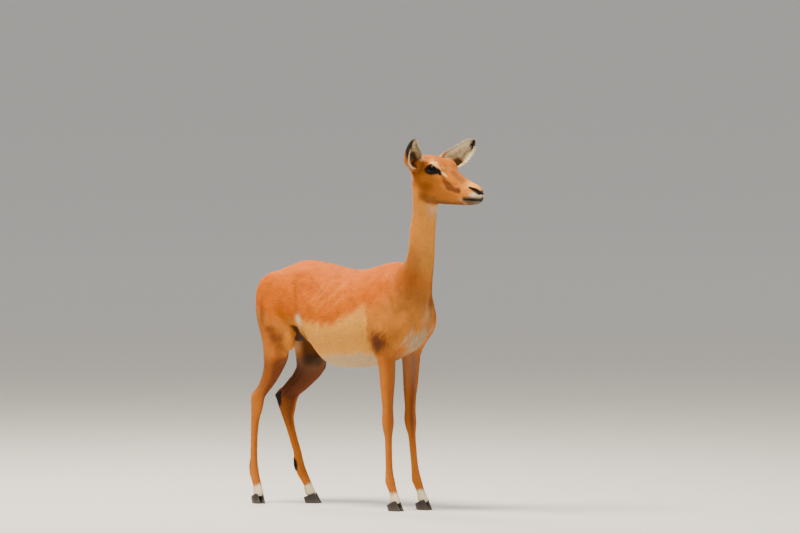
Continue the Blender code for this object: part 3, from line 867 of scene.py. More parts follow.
# ---- eyes and ears, as places
@dataclass(frozen=True)
class EyeSocket:
    """Where an eye sits, and the almond that its lids leave open."""

    side: Side
    radius: float = 0.02
    ahead_angle: float = math.radians(58)  # from the middle of the opening to its front corner
    behind_angle: float = math.radians(62)
    above_angle: float = math.radians(45)
    below_angle: float = math.radians(40)
    lid: float = 0.0022  # the lids' thickness

    @property
    def centre(self) -> Array:
        """The eyeball's centre."""
        return HEAD_PLACE + np.array((0.0635, 0.0362 * self.side.value, 1.1458))

    @property
    def axes(self) -> Array:
        """Three rows: the way it looks, the way to its front corner, and the way up."""
        look = unit(np.array((0.14, self.side.value, 0.04)))
        ahead = np.array((1.0, 0.0, -0.24))
        ahead = unit(ahead - look * (ahead @ look))
        up = np.cross(ahead, look) * self.side.value
        return np.array((look, ahead, -up if up[2] < 0 else up))

    def edge_angle(self, turn: Array) -> Array:
        """How far the opening reaches from its middle, in radians, in a direction round the look."""
        ahead = np.where(np.cos(turn) > 0, self.ahead_angle, self.behind_angle)
        above = np.where(np.sin(turn) > 0, self.above_angle, self.below_angle)
        pointed = 1.0 + 0.1 * np.abs(np.cos(turn)) ** 6 - 0.06 * np.abs(np.sin(2.0 * turn))
        return pointed / np.sqrt((np.cos(turn) / ahead) ** 2 + (np.sin(turn) / above) ** 2)

    def shares(self, points: Array) -> tuple[Array, Array, Array]:
        """Where points lie round the eye.

        Args:
            points: the points.

        Returns:
            Their distance from the eye's centre, their angle from its look as a share of the opening's
            edge, and their direction round the look.
        """
        away = points - self.centre
        distance = np.maximum(np.linalg.norm(away, axis=1), 1e-6)
        look, ahead, up = ((away / distance[:, None]) @ self.axes.T).T
        turn = np.arctan2(up, ahead)
        return distance, np.arccos(np.clip(look, -1.0, 1.0)) / self.edge_angle(turn), turn

    def on_ball(self, share: Array, turn: Array, radius: Array | float) -> Array:
        """Points at a share of the way to the opening's edge, at a radius from the centre."""
        angle = share * self.edge_angle(turn)
        ways = np.stack((np.cos(angle), np.sin(angle) * np.cos(turn), np.sin(angle) * np.sin(turn)), axis=-1)
        return self.centre + (ways * np.asarray(radius)[..., None]) @ self.axes


SOCKETS = tuple(EyeSocket(side) for side in Side)


@dataclass(frozen=True)
class Ear:
    """A cupped leaf of skin, as a place to build on."""

    side: Side
    length: float = 0.161
    width: float = 0.068
    thickness: float = 0.005  # with the coat on both sides, at the root
    shape: tuple = (  # share of the length, half-width and bow as shares of the width, half-angle in degrees
        (-0.1, 0.24, 0.0, 155.0), (0.0, 0.28, 0.0, 150.0), (0.1, 0.38, 0.0, 138.0),
        (0.22, 0.49, 0.01, 118.0), (0.38, 0.53, 0.08, 96.0), (0.56, 0.5, 0.15, 82.0),
        (0.74, 0.41, 0.11, 74.0), (0.88, 0.28, 0.08, 70.0), (0.96, 0.14, 0.06, 60.0),
        (1.0, 0.04, 0.04, 40.0),
    )

    @property
    def root(self) -> Array:
        """Where it leaves the head."""
        own = (-0.008, -0.044, 1.152) if self.side is Side.RIGHT else (0.008, 0.048, 1.142)
        return HEAD_PLACE + np.array(own)

    @property
    def axes(self) -> Array:
        """Three rows: out of its hollow, across it, and along it to the tip."""
        right = self.side is Side.RIGHT
        aim = unit(np.array((0.51, -0.61, 0.61) if right else (0.39, 0.69, 0.61)))
        hollow = np.array((0.84, 0.2, -0.15) if right else (0.74, -0.6, 0.18))
        hollow = unit(hollow - aim * (hollow @ aim))
        return np.array((hollow, np.cross(aim, hollow), aim))

    def profile(self, share: Array) -> tuple[Array, Array, Array]:
        """The arc's radius, half-angle and shift across at a share of the ear's length."""
        rows = smooth_rows(np.array(self.shape), 0.02)
        half, bow = (np.interp(share, rows[:, 0], rows[:, i]) * self.width for i in (1, 2))
        bend = np.radians(np.interp(share, rows[:, 0], rows[:, 3]))
        return half / np.sin(np.minimum(bend, math.pi / 2)), bend, bow * self.side.value

    def surface(self, share: Array, turn: Array, depth: Array) -> Array:
        """Points on the ear.

        Args:
            share: the share of its length.
            turn: from -1 at one rim to 1 at the other.
            depth: how far in from its outer side.

        Returns:
            The points.
        """
        radius, bend, bow = self.profile(share)
        inward = np.maximum(radius - depth, 0.0003)
        out = radius * np.cos(bend) * 0.5 - np.cos(turn * bend) * inward
        own = np.stack((out, bow + np.sin(turn * bend) * inward, share * self.length), axis=-1)
        return self.root + own @ self.axes

    def own(self, points: Array) -> tuple[Array, Array, Array]:
        """The share, turn and depth of points, as surface has them."""
        out, across, along = ((points - self.root) @ self.axes.T).T
        share = along / self.length
        radius, bend, bow = self.profile(share)
        out = out - radius * np.cos(bend) * 0.5
        across = across - bow
        return share, np.arctan2(across, -out) / bend, radius - np.hypot(out, across)

    def walls(self, share: Array) -> tuple[Array, Array]:
        """How deep the skin's outer and inner sides lie, below the coat, at a share of the length."""
        whole = self.thickness * (1.0 - 0.45 * share)
        return 0.22 * whole, 0.8 * whole

    def holds(self, points: Array, start: float, slack: float = 0.008) -> Array:
        """Whether points are on the ear past a share of its length, with some slack about its skin."""
        share, turn, depth = self.own(points)
        return (share > start) & (share < 1.03) & (np.abs(depth - 0.002) < slack) & (np.abs(turn) < 1.12)

    def shell(self, rows: int = 72, columns: int = 30) -> tuple[Array, list]:
        """The ear's skin as a closed shell."""
        share = np.linspace(-0.09, 0.995, rows)[:, None]
        turn = np.sin(np.linspace(-1.0, 1.0, columns) * 1.25)[None, :] / math.sin(1.25)
        outer, inner = self.walls(share)
        middle = (outer + inner) / 2
        radius, bend, _ = self.profile(share)
        edge = 1.0 + 0.0012 / np.maximum(radius * bend, 0.002)
        sheets = [
            self.surface(share + 0 * turn, turn + 0 * share, outer + 0 * turn),
            self.surface(share, edge, middle),
            self.surface(share + 0 * turn, turn[:, ::-1] + 0 * share, inner + 0 * turn),
            self.surface(share, -edge, middle),
        ]
        rings = np.concatenate(sheets, axis=1)
        around = rings.shape[1]
        faces = wrapped(rows, around).tolist()
        for start in (0, (rows - 1) * around):
            one = range(start, start + columns)
            other = range(start + 2 * columns, start + columns, -1)
            end = list(zip(one, other, other[1:], one[1:]))
            end += [(one[-1], other[-1], start + columns), (other[0], one[0], start + around - 1)]
            faces += [corners if start == 0 else corners[::-1] for corners in end]
        return rings.reshape(-1, 3), faces


EARS = tuple(Ear(side) for side in Side)


# ---- the face's features
EYE_MIDDLE = (0.064, 0.05, 1.146)
NOSTRIL = curve_mm((206.5, 17.8, 1089), (220, 17.5, 1084.5), (232, 15.2, 1080.5), (244.5, 7.5, 1071.5))
MOUTH = curve_mm(
    (156, 23.5, 1048), (180, 22.2, 1048.7), (203, 20, 1049.2), (222, 17, 1049),
    (236, 12.5, 1048.8), (244, 6, 1048.6), (246.5, 0, 1048.6),
)
PHILTRUM = curve_mm((245, 0, 1077), (248, 0, 1064), (247.5, 0, 1049))
CHEEK_HOLLOW = curve_mm((150, 26, 1093), (120, 30, 1098), (92, 37, 1100))
NOSE_SIDE = curve_mm((200, 12, 1103), (150, 16, 1128), (110, 24, 1152))
JAW_EDGE = curve_mm((60, 32, 1045), (35, 40, 1060), (12, 42, 1095), (5, 44, 1120))
BRIGHT_BROW = curve_mm(
    (38, 34, 1170), (62, 41, 1170), (82, 40, 1163), (94, 36, 1148),
    (103, 31, 1134), (116, 28, 1123),
)
UNDER_EYE = curve_mm((43, 46, 1122), (64, 44.5, 1117.6), (80, 41, 1124))
MUZZLE_BAND = curve_mm(
    (102.7, 34, 1121.7), (109, 31, 1107), (119, 27.5, 1094), (139, 25, 1083),
    (163, 23.5, 1077),
)
BRIDGE_LINE = curve_mm((129, 13.8, 1138.5), (142, 13, 1129), (156, 14, 1118), (175, 13, 1109))
UNDER_JAW = curve_mm((35, 12, 1033), (88.5, 9, 1035), (130.5, 7, 1032), (165, 8, 1032))
TEAR_LINE = curve_mm((82, 44, 1138), (93, 37, 1131))
BLAZE = curve_mm((112, 0, 1152), (140, 0, 1130), (166, 0, 1114), (190, 0, 1106))
CREASES = (  # the folds of thin skin that slant down and back over the ribs
    curve_mm((20, 0, 772), (10, 0, 755), (-3, 0, 720), (-33, 0, 680)),
    curve_mm((66, 0, 757), (48, 0, 728), (30, 0, 705), (4, 0, 682), (-20, 0, 658)),
    curve_mm((112, 0, 787), (81, 0, 760), (60, 0, 735), (48, 0, 710)),
    curve_mm((-12, 0, 748), (-28, 0, 716), (-46, 0, 690)),
    curve_mm((90, 0, 705), (56, 0, 676), (30, 0, 650)),
)
# The next five are read with from_line; their distances across are already shrunk for it.
HIND_GROOVE = curve_mm((-234, 13.8, 430), (-267, 14.2, 402), (-305, 14.8, 370), (-326, 14.4, 352))
NECK_SHADE = curve_mm((346, 14, 840), (336, 18, 765), (338, 16, 690))
CHEST_SEAM = curve_mm((371, 7.6, 722), (377, 3.4, 690), (377, 1, 657), (371, 1.7, 623), (353, 4.7, 588))
FLANK_LINE = curve_mm((-138, 0, 745), (-123, 0, 693), (-117, 0, 650))
FLANK_FRINGE = curve_mm((-126, 30, 600), (-132, 30, 560), (-140, 30, 520))
THIGH_SHADES = (  # centre and radii of each dark smudge, as seen from the side
    ((-0.216, 0.0, 0.563), (0.03, 1.0, 0.024)),
    ((-0.206, 0.0, 0.522), (0.018, 1.0, 0.034)),
    ((-0.238, 0.0, 0.59), (0.026, 1.0, 0.014)),
)
ELBOW_SHADES = (
    ((0.241, 0.0, 0.562), (0.044, 1.0, 0.038)),
    ((0.228, 0.0, 0.54), (0.036, 1.0, 0.026)),
)
SIDEWAYS = np.array((1.0, 0.4, 1.0))  # a line on the face's side counts little of how far out it lies


def from_side_line(own: Array, curve: Curve) -> tuple[Array, Array]:
    """How far points of the head are from a line on both its sides.

    Args:
        own: the points in the head's own frame.
        curve: the line on the left side.

    Returns:
        The distances and the shares along the line.
    """
    return from_curve(mirrored(own) * SIDEWAYS, np.array(curve) * SIDEWAYS)


def from_crease(points: Array) -> Array:
    """How far points are from the nearest crease over the ribs, seen from the side."""
    return np.min([from_line(points, crease, 0.0) for crease in CREASES], axis=0)


def smudged(own: Array, shades: Sequence[tuple], raggedness: float) -> Array:
    """How far points lie in dark smudges, from 0 to 1, with uneven edges."""
    uneven = (ripple(own, 0.016, 31) + ripple(own, 0.034, 32)) * raggedness
    return np.max([ease(1.5, 0.25, from_ball(own, *shade) + uneven) for shade in shades], axis=0)


def in_groin(points: Array) -> Array:
    """How deep points lie in the hollow between thigh and belly, from 0 to 1."""
    x, z = points[:, 0], points[:, 2]
    thigh = through(z, (0.46, -0.15), (0.5, -0.142), (0.53, -0.136), (0.56, -0.129), (0.611, -0.121))
    belly = through(z, (0.46, -0.01), (0.5, -0.048), (0.53, -0.085), (0.564, -0.102), (0.611, -0.115))
    wedge = ease(-0.001, 0.008, x - thigh) * ease(-0.001, 0.01, belly - x)
    return wedge * ease(0.45, 0.48, z) * ease(0.618, 0.592, z) * ease(0.04, 0.058, np.abs(points[:, 1]))


def in_hollow(points: Array, normals: Array) -> Array:
    """How deep points lie in the painted shade under the belly's end, between the thighs, from 0 to 1."""
    x, across, z = points[:, 0], np.abs(points[:, 1]), points[:, 2]
    reach = through(z, (0.54, 0.046), (0.575, 0.06), (0.59, 0.073), (0.601, 0.081))
    inside = ease(reach + 0.006, reach - 0.004, across) * ease(0.612, 0.6, z)
    return ease(-0.3, -0.5, normals[:, 2]) * inside * ease(-0.123, -0.131, x) * ease(-0.255, -0.235, x)


NAPE_CUT = (np.array((0.37, 0.0, 1.068)), unit(np.array((0.66, 0.0, 1.0))))


def above_nape(points: Array) -> Array:
    """How far points are on the head's side of the nape."""
    return (points - NAPE_CUT[0]) @ NAPE_CUT[1]


TAIL_LINE: Curve = tuple(((s.first + s.second) / 2, 0.0, s.place) for s in TAIL)


def on_tail(points: Array, top: float) -> Array:
    """Whether points are on the tail, below a height."""
    x, z = points[:, 0], points[:, 2]
    front = through(z, (0.5, -0.325), (0.6, -0.338), (0.7, -0.358), (0.76, -0.34))
    return (from_curve(points, TAIL_LINE)[0] < 0.0215) & (z < top) & (x < front)


RUMP_STRIPE = curve_mm(
    (0, 27, 730), (0, 50, 706), (0, 66, 672), (0, 74, 630), (0, 73, 590),
    (0, 66, 558), (0, 58, 536),
)
ACROSS_ONLY = np.array((0.0, 1.0, 1.0))


# ---- markings
LAYERS = ("saddle", "rust", "cream", "white", "black", "bare")
WHITE, BLACK = LAYERS.index("white"), LAYERS.index("black")


def layered(count: int, **tones: Array | float) -> Array:
    """The six layers side by side for a number of points; one that isn't named is 0."""
    return np.stack([tones.get(name, 0.0) + np.zeros(count) for name in LAYERS], axis=1)


def blended(first: Array, second: Array, share: Array) -> Array:
    """The first layers where the share is 0 and the second where it is 1."""
    return first * (1 - share[:, None]) + second * share[:, None]


class Spot(NamedTuple):
    """A soft round patch: its centre, its radii, its strength and how far it spreads past them."""

    centre: Sequence[float]
    radii: Sequence[float]
    strength: float = 1.0
    spread: float = 1.0

    def over(self, points: Array, uneven: Array | float = 0.0) -> Array:
        """How strong the patch is at points; its edge comes in where uneven is above 0."""
        return self.strength * bell(from_ball(points, self.centre, self.radii) + uneven, self.spread)


HEAD_SPREAD = Spot((0.393, 0.036, 1.04), (0.034, 0.05, 0.026), 0.018)  # where the face runs onto the neck
THROAT = Spot((0.424, 0.016, 1.01), (0.02, 0.026, 0.026), 0.62)
FLANK_FOLD = Spot((-0.114, 0.1, 0.626), (0.014, 0.03, 0.018), 1.0, 0.95)
EAR_PATCH = Spot((-0.03, 0.039, 1.114), (0.006, 0.014, 0.014), 0.6)
# Rust-brown patches on the body; those marked so are painted shade
RUST_AND_SHADE_ON_BODY = (
    Spot((-0.222, 0.09, 0.56), (0.044, 0.06, 0.052), 0.34),  # the thigh
    Spot((0.305, 0.085, 0.592), (0.034, 0.03, 0.03), 0.42),  # the upper arm, painted shade
    Spot((0.372, 0.01, 0.72), (0.03, 0.038, 0.056), 0.3),  # the pit of the neck, painted shade
    Spot((-0.055, 0.092, 0.733), (0.058, 0.05, 0.024), 0.2, 0.9),  # before the hip, painted shade in its hollow
    Spot((0.04, 0.122, 0.64), (0.03, 0.04, 0.018), 0.18, 0.9),  # the last ribs
)
RUST_AND_SHADE_ON_FACE = (
    Spot((0.041, 0.044, 1.083), (0.03, 0.03, 0.024), 0.58),  # the cheek
    Spot((0.022, 0.03, 1.037), (0.02, 0.03, 0.012), 0.9),  # the jaw's angle; this and the next spot are painted shadow under it
    Spot((0.026, 0.036, 1.052), (0.034, 0.03, 0.024), 0.72),
    Spot((0.012, 0.02, 1.183), (0.008, 0.01, 0.006), 0.65),  # the spots behind the brow
    Spot((0.017, 0.045, 1.153), (0.009, 0.02, 0.016), 0.8),
    Spot((0.003, 0.048, 1.14), (0.016, 0.02, 0.022), 0.7),  # under the ear
    Spot((-0.004, 0.044, 1.105), (0.02, 0.02, 0.03), 0.45),
    Spot((0.146, 0.0225, 1.1), (0.012, 0.012, 0.006), 0.45),
)
CREAM_ON_FACE = (
    Spot((0.05, 0.027, 1.175), (0.017, 0.012, 0.008), 0.85),  # above the brow
    Spot((0.108, 0.03, 1.149), (0.012, 0.014, 0.014), 0.42),  # before the eye
)
BLACK_AND_SHADE_ON_FACE = (
    Spot((0.022, 0.036, 1.045), (0.034, 0.03, 0.02), 0.24),  # the jaw, painted shade
    Spot((0.0285, 0.034, 1.1675), (0.0048, 0.008, 0.0042), 0.85),  # the brow's back end
    Spot((-0.014, 0.044, 1.136), (0.022, 0.024, 0.018), 0.34),  # the ear's base
    Spot((0.004, 0.049, 1.143), (0.014, 0.02, 0.016), 0.3),
)
EYE_PATCH = ((0.055, 0.048, 1.1457), (0.028, 0.03, 0.017))
NOSE_PAD = ((0.246, 0.0, 1.0745), (0.006, 0.0075, 0.0045))
HOCK_MARK = ((-0.03, -0.01, 0.345), (0.02, 0.013, 0.03))  # from the leg's own middle
GLAND_MARK = ((-0.02, 0.0, 0.128), (0.018, 0.022, 0.026))


@dataclass(frozen=True)
class Markings:
    """The impala's colours and the shade painted into them, as shares of each tone at points of the coat."""

    saddle_edge: tuple = (
        (-0.36, 0.7), (-0.3, 0.655), (-0.22, 0.625), (-0.14, 0.634), (-0.088, 0.627), (0.0, 0.617),
        (0.05, 0.613), (0.074, 0.626), (0.115, 0.646), (0.145, 0.664), (0.1825, 0.68), (0.21, 0.68),
        (0.26, 0.695), (0.33, 0.75),
    )
    saddle_softness: tuple = ((-0.22, 0.045), (-0.13, 0.016), (0.05, 0.019), (0.15, 0.024), (0.24, 0.05))
    belly_edge: tuple = (
        (-0.3, 0.43), (-0.16, 0.49), (-0.1, 0.496), (-0.026, 0.505), (0.074, 0.516), (0.173, 0.523),
        (0.245, 0.515), (0.3, 0.53), (0.34, 0.59), (0.4, 0.64),
    )

    def of(self, points: Array, normals: Array) -> tuple[Array, Array]:
        """The tones and the marks.

        Args:
            points: the points of the coat.
            normals: the way out of the body at each of them.

        Returns:
            Saddle, rust and cream for each point, and white, black and bare skin for each point.
        """
        wavy = ripple(points, 0.04, 1) * 0.006 + ripple(points, 0.012, 2) * 0.0025
        head = ease(-0.01, 0.01, above_nape(points) + wavy + HEAD_SPREAD.over(mirrored(points)))
        face = self._face(points - HEAD_PLACE, normals, wavy)
        layers = blended(self._body(points, normals, wavy), face, head)
        for leg in LEGS:
            self._leg(leg, points, normals, wavy, layers)
        self._tail(points, wavy, layers)
        for ear in EARS:
            self._ear(ear, points, normals, layers)
        layers = np.clip(layers, 0.0, 1.0)
        return layers[:, :3], layers[:, 3:]

    def _body(self, points: Array, normals: Array, wavy: Array) -> Array:
        """The six layers over trunk and neck."""
        x, z, across = points[:, 0], points[:, 2], np.abs(points[:, 1])
        own = mirrored(points)
        sides = ease(0.045, 0.07, across)
        neck = ease(0.8, 0.88, z + (x - 0.3) * 0.5)
        elbow = smudged(own, ELBOW_SHADES, 0.12) * sides * ease(0.315, 0.285, x)
        # painted shade down the side of the neck's base
        throat_shade = bell(from_line(own, NECK_SHADE, 0.4) + wavy, 0.05)
        crease = bell(from_crease(points) + wavy * 0.25, 0.0058) * sides * ease(-0.27, -0.1, x)
        # groin and hollow mark painted shade: in the hollow between thigh and belly, and under the belly's
        # end
        groin, hollow = in_groin(points), in_hollow(points, normals)
        edge, soft = through(x, *self.saddle_edge), through(x, *self.saddle_softness)
        above, band = ease(edge - soft, edge + soft, z + wavy), ease(edge + soft, edge - soft, z + wavy)
        saddle = above * (1 - 0.85 * neck) * (1.0 - 0.35 * ease(0.2, 0.3, x)) + 0.14
        saddle = np.maximum(saddle, 0.45 * ease(-0.16, -0.24, x) * ease(0.72, 0.6, z))
        seam = bell(from_line(points, CHEST_SEAM, 0.3) + wavy * 0.3, 0.006)
        flank = bell(from_line(own, FLANK_LINE, 0.0) + wavy * 0.4, 0.009)
        rust = (
            0.3 * bell(across, 0.007) * ease(0.7, 0.76, z) * ease(0.24, 0.05, x)
            + 0.25 * bell(across, 0.02) * ease(-0.26, -0.34, x) * ease(0.66, 0.7, z)
            + 1.1 * elbow
            + 0.56 * smudged(own, THIGH_SHADES, 0.14) * sides
            # painted shade low on the back of the haunch
            + 0.3 * ease(-0.22, -0.32, x) * ease(0.72, 0.62, z)
            + 0.42 * throat_shade
            + 0.4 * bell(x + 0.276 + wavy, 0.013) * ease(0.57, 0.62, z) * ease(0.74, 0.69, z) * sides
            # painted shade in the groove before the haunch
            + 0.25 * flank * sides
            + 0.14 * ease(0.1, 0.8, ripple(points, 0.05, 5)) * saddle
            # painted shade in the groin
            + 0.75 * groin
            + sum(spot.over(own) for spot in RUST_AND_SHADE_ON_BODY)
        )
        # painted shade under the belly's end
        rust = np.maximum(rust, 0.8 * hollow) + 0.26 * seam * ease(-0.004, 0.006, points[:, 1])
        cream = (
            0.74 * band * ease(-0.145, -0.125, x) * ease(0.195, 0.18, x + wavy)
            + 0.45 * bell(x - 0.187 + wavy, 0.006) * ease(0.52, 0.55, z) * ease(0.68, 0.64, z)
            + 0.18 * neck
            + 0.18 * ease(0.34, 0.39, x) * ease(0.62, 0.66, z)
            + 0.55 * neck * bell(across, 0.02) * ease(1.02, 1.08, z) * ease(0.34, 0.32, x)
            # a painted highlight along the creases' crests
            + 0.15 * crease
        )
        # the paler tones are taken out of the groin's painted shade
        cream = cream * (1 - 0.8 * groin)
        belly = through(x, *self.belly_edge)
        pale = 0.64 * ease(belly + 0.013, belly - 0.011, z + wavy)
        pale = pale * (1 - ease(0.19, 0.215, x) * ease(0.03, 0.045, across))
        brisket = ease(0.635, 0.6, z + wavy * 2) * ease(0.285, 0.32, x) * ease(0.066, 0.05, across)
        middle = bell(across, 0.022) * ease(0.3, 0.35, x) * ease(0.7, 0.655, z + wavy * 2)
        strands = 0.72 + 0.28 * ripple(own * (1.0, 1.0, 0.25), 0.01, 33)
        rump, line = self._rump(points, normals, wavy)
        fringe = 0.55 * bell(from_line(own, FLANK_FRINGE, 0.3), 0.006)
        chest = np.maximum(0.34 * brisket, 0.2 * middle) * strands
        white = most(pale, FLANK_FOLD.over(own), fringe, chest, THROAT.over(own), rump)
        # white is taken out of the painted shade in the groin and under the belly's end
        white = white * (1 - 0.9 * groin) * (1 - 0.8 * hollow)
        # painted shade on the belly's downward faces; between the breast's pale strands the dark is partly
        # darker hair, partly painted shade
        underside_shade = pale * ease(0.1, -0.35, normals[:, 2])
        below = 0.3 * brisket * (1 - strands) + 0.5 * underside_shade
        # black: the rump's lines, the elbow's patch, and painted shade in the groin, at the neck's base, on
        # the undersides and under the belly's end
        black = most(line, 0.62 * groin, 0.36 * elbow, 0.2 * throat_shade, below, 0.8 * hollow)
        return layered(len(x), saddle=saddle, rust=rust, cream=cream, white=white, black=black)

    def _rump(self, points: Array, normals: Array, wavy: Array) -> tuple[Array, Array]:
        """The rump's white and the black line on each side of it."""
        x, z, across = points[:, 0], points[:, 2], np.abs(points[:, 1])
        rear = ease(-0.25, -0.45, normals[:, 0]) * ease(-0.24, -0.27, x)
        stripe, down = from_curve(mirrored(points) * ACROSS_ONLY, RUMP_STRIPE)
        width = 0.0035 + 0.0035 * np.sin(np.clip(down, 0, 1) * math.pi) ** 0.6
        line = rear * ease(width + 0.0015, width - 0.0015, stripe + wavy * 0.25)
        inside = ease(0.005, -0.002, across - through(z, *((p[2], p[1]) for p in RUMP_STRIPE[::-1])))
        return rear * inside * ease(0.715, 0.69, z) * ease(0.4, 0.5, z), line

    def _face(self, own: Array, normals: Array, wavy: Array) -> Array:
        """The six layers over the head, from places in its own frame."""
        x, z, up = own[:, 0], own[:, 2], normals[:, 2]
        side = mirrored(own)
        fine = wavy * 0.35
        top = ease(0.1, 0.55, up)
        mouth, _ = from_side_line(own, MOUTH)
        band, along = from_side_line(own, MUZZLE_BAND)
        width = through(along, (0.0, 0.007), (0.3, 0.01), (0.6, 0.0116), (1.0, 0.0094))
        muzzle = (0.8 + 0.2 * along) * ease(width + 0.006, width - 0.005, band + fine)
        muzzle_core = ease(width + 0.002, width - 0.006, band + fine) * ease(0.2, 0.5, along)
        brow, along = from_side_line(own, BRIGHT_BROW)
        width = through(along, (0.0, 0.0052), (0.35, 0.0062), (0.7, 0.005), (1.0, 0.003))
        stripe = ease(width + 0.0018, width - 0.002, brow + fine) * ease(0.0, 0.08, along)
        saddle = 0.46 + 0.26 * top * ease(0.18, 0.13, x) - 0.24 * ease(0.17, 0.22, x)
        cream = most(
            np.full_like(x, 0.06),
            0.92 * stripe,
            0.28 * ease(0.0085, 0.0015, from_side_line(own, UNDER_EYE)[0] + fine),
            0.62 * ease(0.165, 0.205, x) * ease(1.075, 1.092, z),
            *(spot.over(side) for spot in CREAM_ON_FACE),
        )
        rust = most(
            # its 0.2 * top term is painted shade on what faces up
            0.14 * ease(0.16, 0.12, x) * ease(0.5, 0.0, up) + 0.2 * top,
            0.5 * bell(from_curve(own, BLAZE)[0] + fine, 0.01),
            0.66 * bell(from_side_line(own, BRIDGE_LINE)[0] + fine, 0.009),
            0.65 * bell(from_side_line(own, UNDER_JAW)[0], 0.008),
            muzzle,
            *(spot.over(side, fine * 30) for spot in RUST_AND_SHADE_ON_FACE),
        )
        rust = rust * (1 - 0.9 * cream)
        chin = ease(0.165, 0.195, x) * ease(1.0475, 1.044, z + fine)
        jaw = ease(-0.35, -0.8, up) * ease(0.0, 0.05, x)
        white = most(
            0.76 * ease(0.195, 0.225, x) * ease(1.078, 1.066, z + fine),
            0.42 * chin,
            0.3 * ease(0.005, 0.002, brow + fine) * ease(0.02, 0.15, along),
            0.35 * ease(0.15, 0.175, x) * ease(0.0095, 0.0045, mouth),
            0.04 * jaw,
            EAR_PATCH.over(side),
        )
        black = most(
            # painted shade on what faces up
            0.26 * top * ease(0.205, 0.18, x),
            0.2 * muzzle_core,
            # painted shade on the chin and under the jaw; the chin's white beneath it is its own
            0.8 * chin,
            0.46 * jaw,
            0.45 * ease(0.218, 0.228, x) * ease(1.064, 1.058, z),
            0.86 * ease(0.014, 0.005, mouth) * ease(0.165, 0.185, x),
            0.93 * ease(1.1, 0.93, from_ball(side, *EYE_PATCH) + fine * 12) * ease(0.02, 0.03, side[:, 1]),
            ease(0.0052, 0.003, from_side_line(own, TEAR_LINE)[0] + fine),
            *(spot.over(side) for spot in BLACK_AND_SHADE_ON_FACE),
            *(self._lid(socket, own + HEAD_PLACE, fine) for socket in SOCKETS),
        )
        black = black * (1 - 0.92 * stripe)
        bare = self._bare(own, mouth, fine)
        return layered(len(x), saddle=saddle, rust=rust, cream=cream, white=white, black=black, bare=bare)

    def _lid(self, socket: EyeSocket, points: Array, fine: Array) -> Array:
        """The black rim round one eye's opening."""
        distance, share, turn = socket.shares(points)
        edge = 1.3 + 0.16 * np.abs(np.cos(turn)) ** 3
        return ease(edge + 0.1, edge - 0.04, share + fine * 20) * ease(0.036, 0.028, distance)

    def _bare(self, own: Array, mouth: Array, fine: Array) -> Array:
        """The bare skin of the nostrils, the nose and the lips' edges."""
        x = own[:, 0]
        nostril, down = from_side_line(own, NOSTRIL)
        wing = through(down, (0.0, 0.0036), (0.5, 0.0062), (1.0, 0.0068))
        lips = through(x, (0.155, 0.0014), (0.19, 0.0032), (0.215, 0.0042), (0.245, 0.0034))
        return most(
            ease(wing + 0.0008, wing - 0.0008, nostril + fine * 0.5),
            ease(0.0026, 0.0014, from_curve(own, PHILTRUM)[0] + fine * 0.3),
            ease(1.15, 0.85, from_ball(own, *NOSE_PAD)),
            ease(lips + 0.0007, lips - 0.0007, mouth + fine * 0.4) * ease(0.15, 0.16, x),
        )

    def _leg(self, leg: Leg, points: Array, normals: Array, wavy: Array, layers: Array) -> None:
        """Lays a leg's colours over the layers, with painted shade on the inner sides, the gaskins and the
        left hind leg's groove.
        """
        x, across, z = points[:, 0], np.abs(points[:, 1]), points[:, 2]
        fore = leg.pair is Pair.FORE
        near = (points[:, 1] * leg.side.value > 0.0) & (z < 0.62)
        near &= (x > 0.195) if fore else (x < -0.115)
        near &= ~((x < -0.325) & (across < 0.024) & (z > 0.5))  # the tail
        points, x, across, z, wavy = points[near], x[near], across[near], z[near], wavy[near]
        own = leg.own(points)
        outer, front = normals[near, 1] * leg.side.value, normals[near, 0]
        inner = ease(-0.15, -0.65, outer)
        rust = 0.26 * ease(0.2, 0.8, front) + 0.2
        if fore:
            top = 0.53
            rust = rust + 0.22 * ease(0.2, 0.8, front) * ease(0.2, 0.3, z)
            # painted shade on the inner side
            rust = rust + 0.3 * inner * ease(0.16, 0.3, z)
            pale = 0.1 * inner * ease(0.36, 0.5, z)
            # painted shade on the inner back of the leg
            black = 0.34 * ease(-0.15, -0.6, outer) * ease(0.1, -0.5, front) * ease(0.2, 0.3, z)
        else:
            top = 0.5
            # painted shade on the gaskin's front, over the whole gaskin and on the inner side
            rust = rust + 0.8 * ease(-0.1, 0.6, front) * ease(0.34, 0.4, z) * ease(0.53, 0.48, z)
            rust = rust + 0.52 * ease(0.33, 0.4, z) * ease(0.54, 0.48, z)
            rust = rust + 0.4 * inner * ease(0.16, 0.3, z)
            pale = 0.1 * inner * ease(0.4, 0.5, z)
            hock = ease(1.12, 0.88, from_ball(own, *HOCK_MARK) + wavy * 15)
            black = np.maximum(hock, ease(1.15, 0.85, from_ball(own, *GLAND_MARK) + wavy * 15))
            if leg.side is Side.LEFT:
                # painted shadow in the groove between the heel's tendon and the bone
                groove = bell(from_line(points, HIND_GROOVE, 0.3) + wavy * 0.2, 0.005)
                black = np.maximum(black, 0.62 * groove * ease(0.0, -0.5, outer))
        lower = layered(
            len(z),
            saddle=0.6 + 0.1 * ripple(points, 0.09, 6),
            rust=rust,
            cream=0.1 + 0.14 * ease(0.2, -0.7, front),
            white=np.maximum(pale, ease(0.068, 0.058, z + wavy)),
            black=black,
        )
        made = blended(layers[near], lower, ease(top + 0.035, top - 0.035, z + wavy))
        if not fore:
            thigh = inner * ease(0.62, 0.58, z) * ease(0.44, 0.48, z) * ease(0.085, 0.06, across)
            rear = ease(-0.204, -0.236, x)
            # painted shade on the inner lower leg
            inner_shade = 0.34 * inner * ease(0.22, 0.34, z) * (1 - thigh)
            made[:, WHITE] = np.maximum(made[:, WHITE], 0.24 * thigh * rear * ease(0.49, 0.53, z))
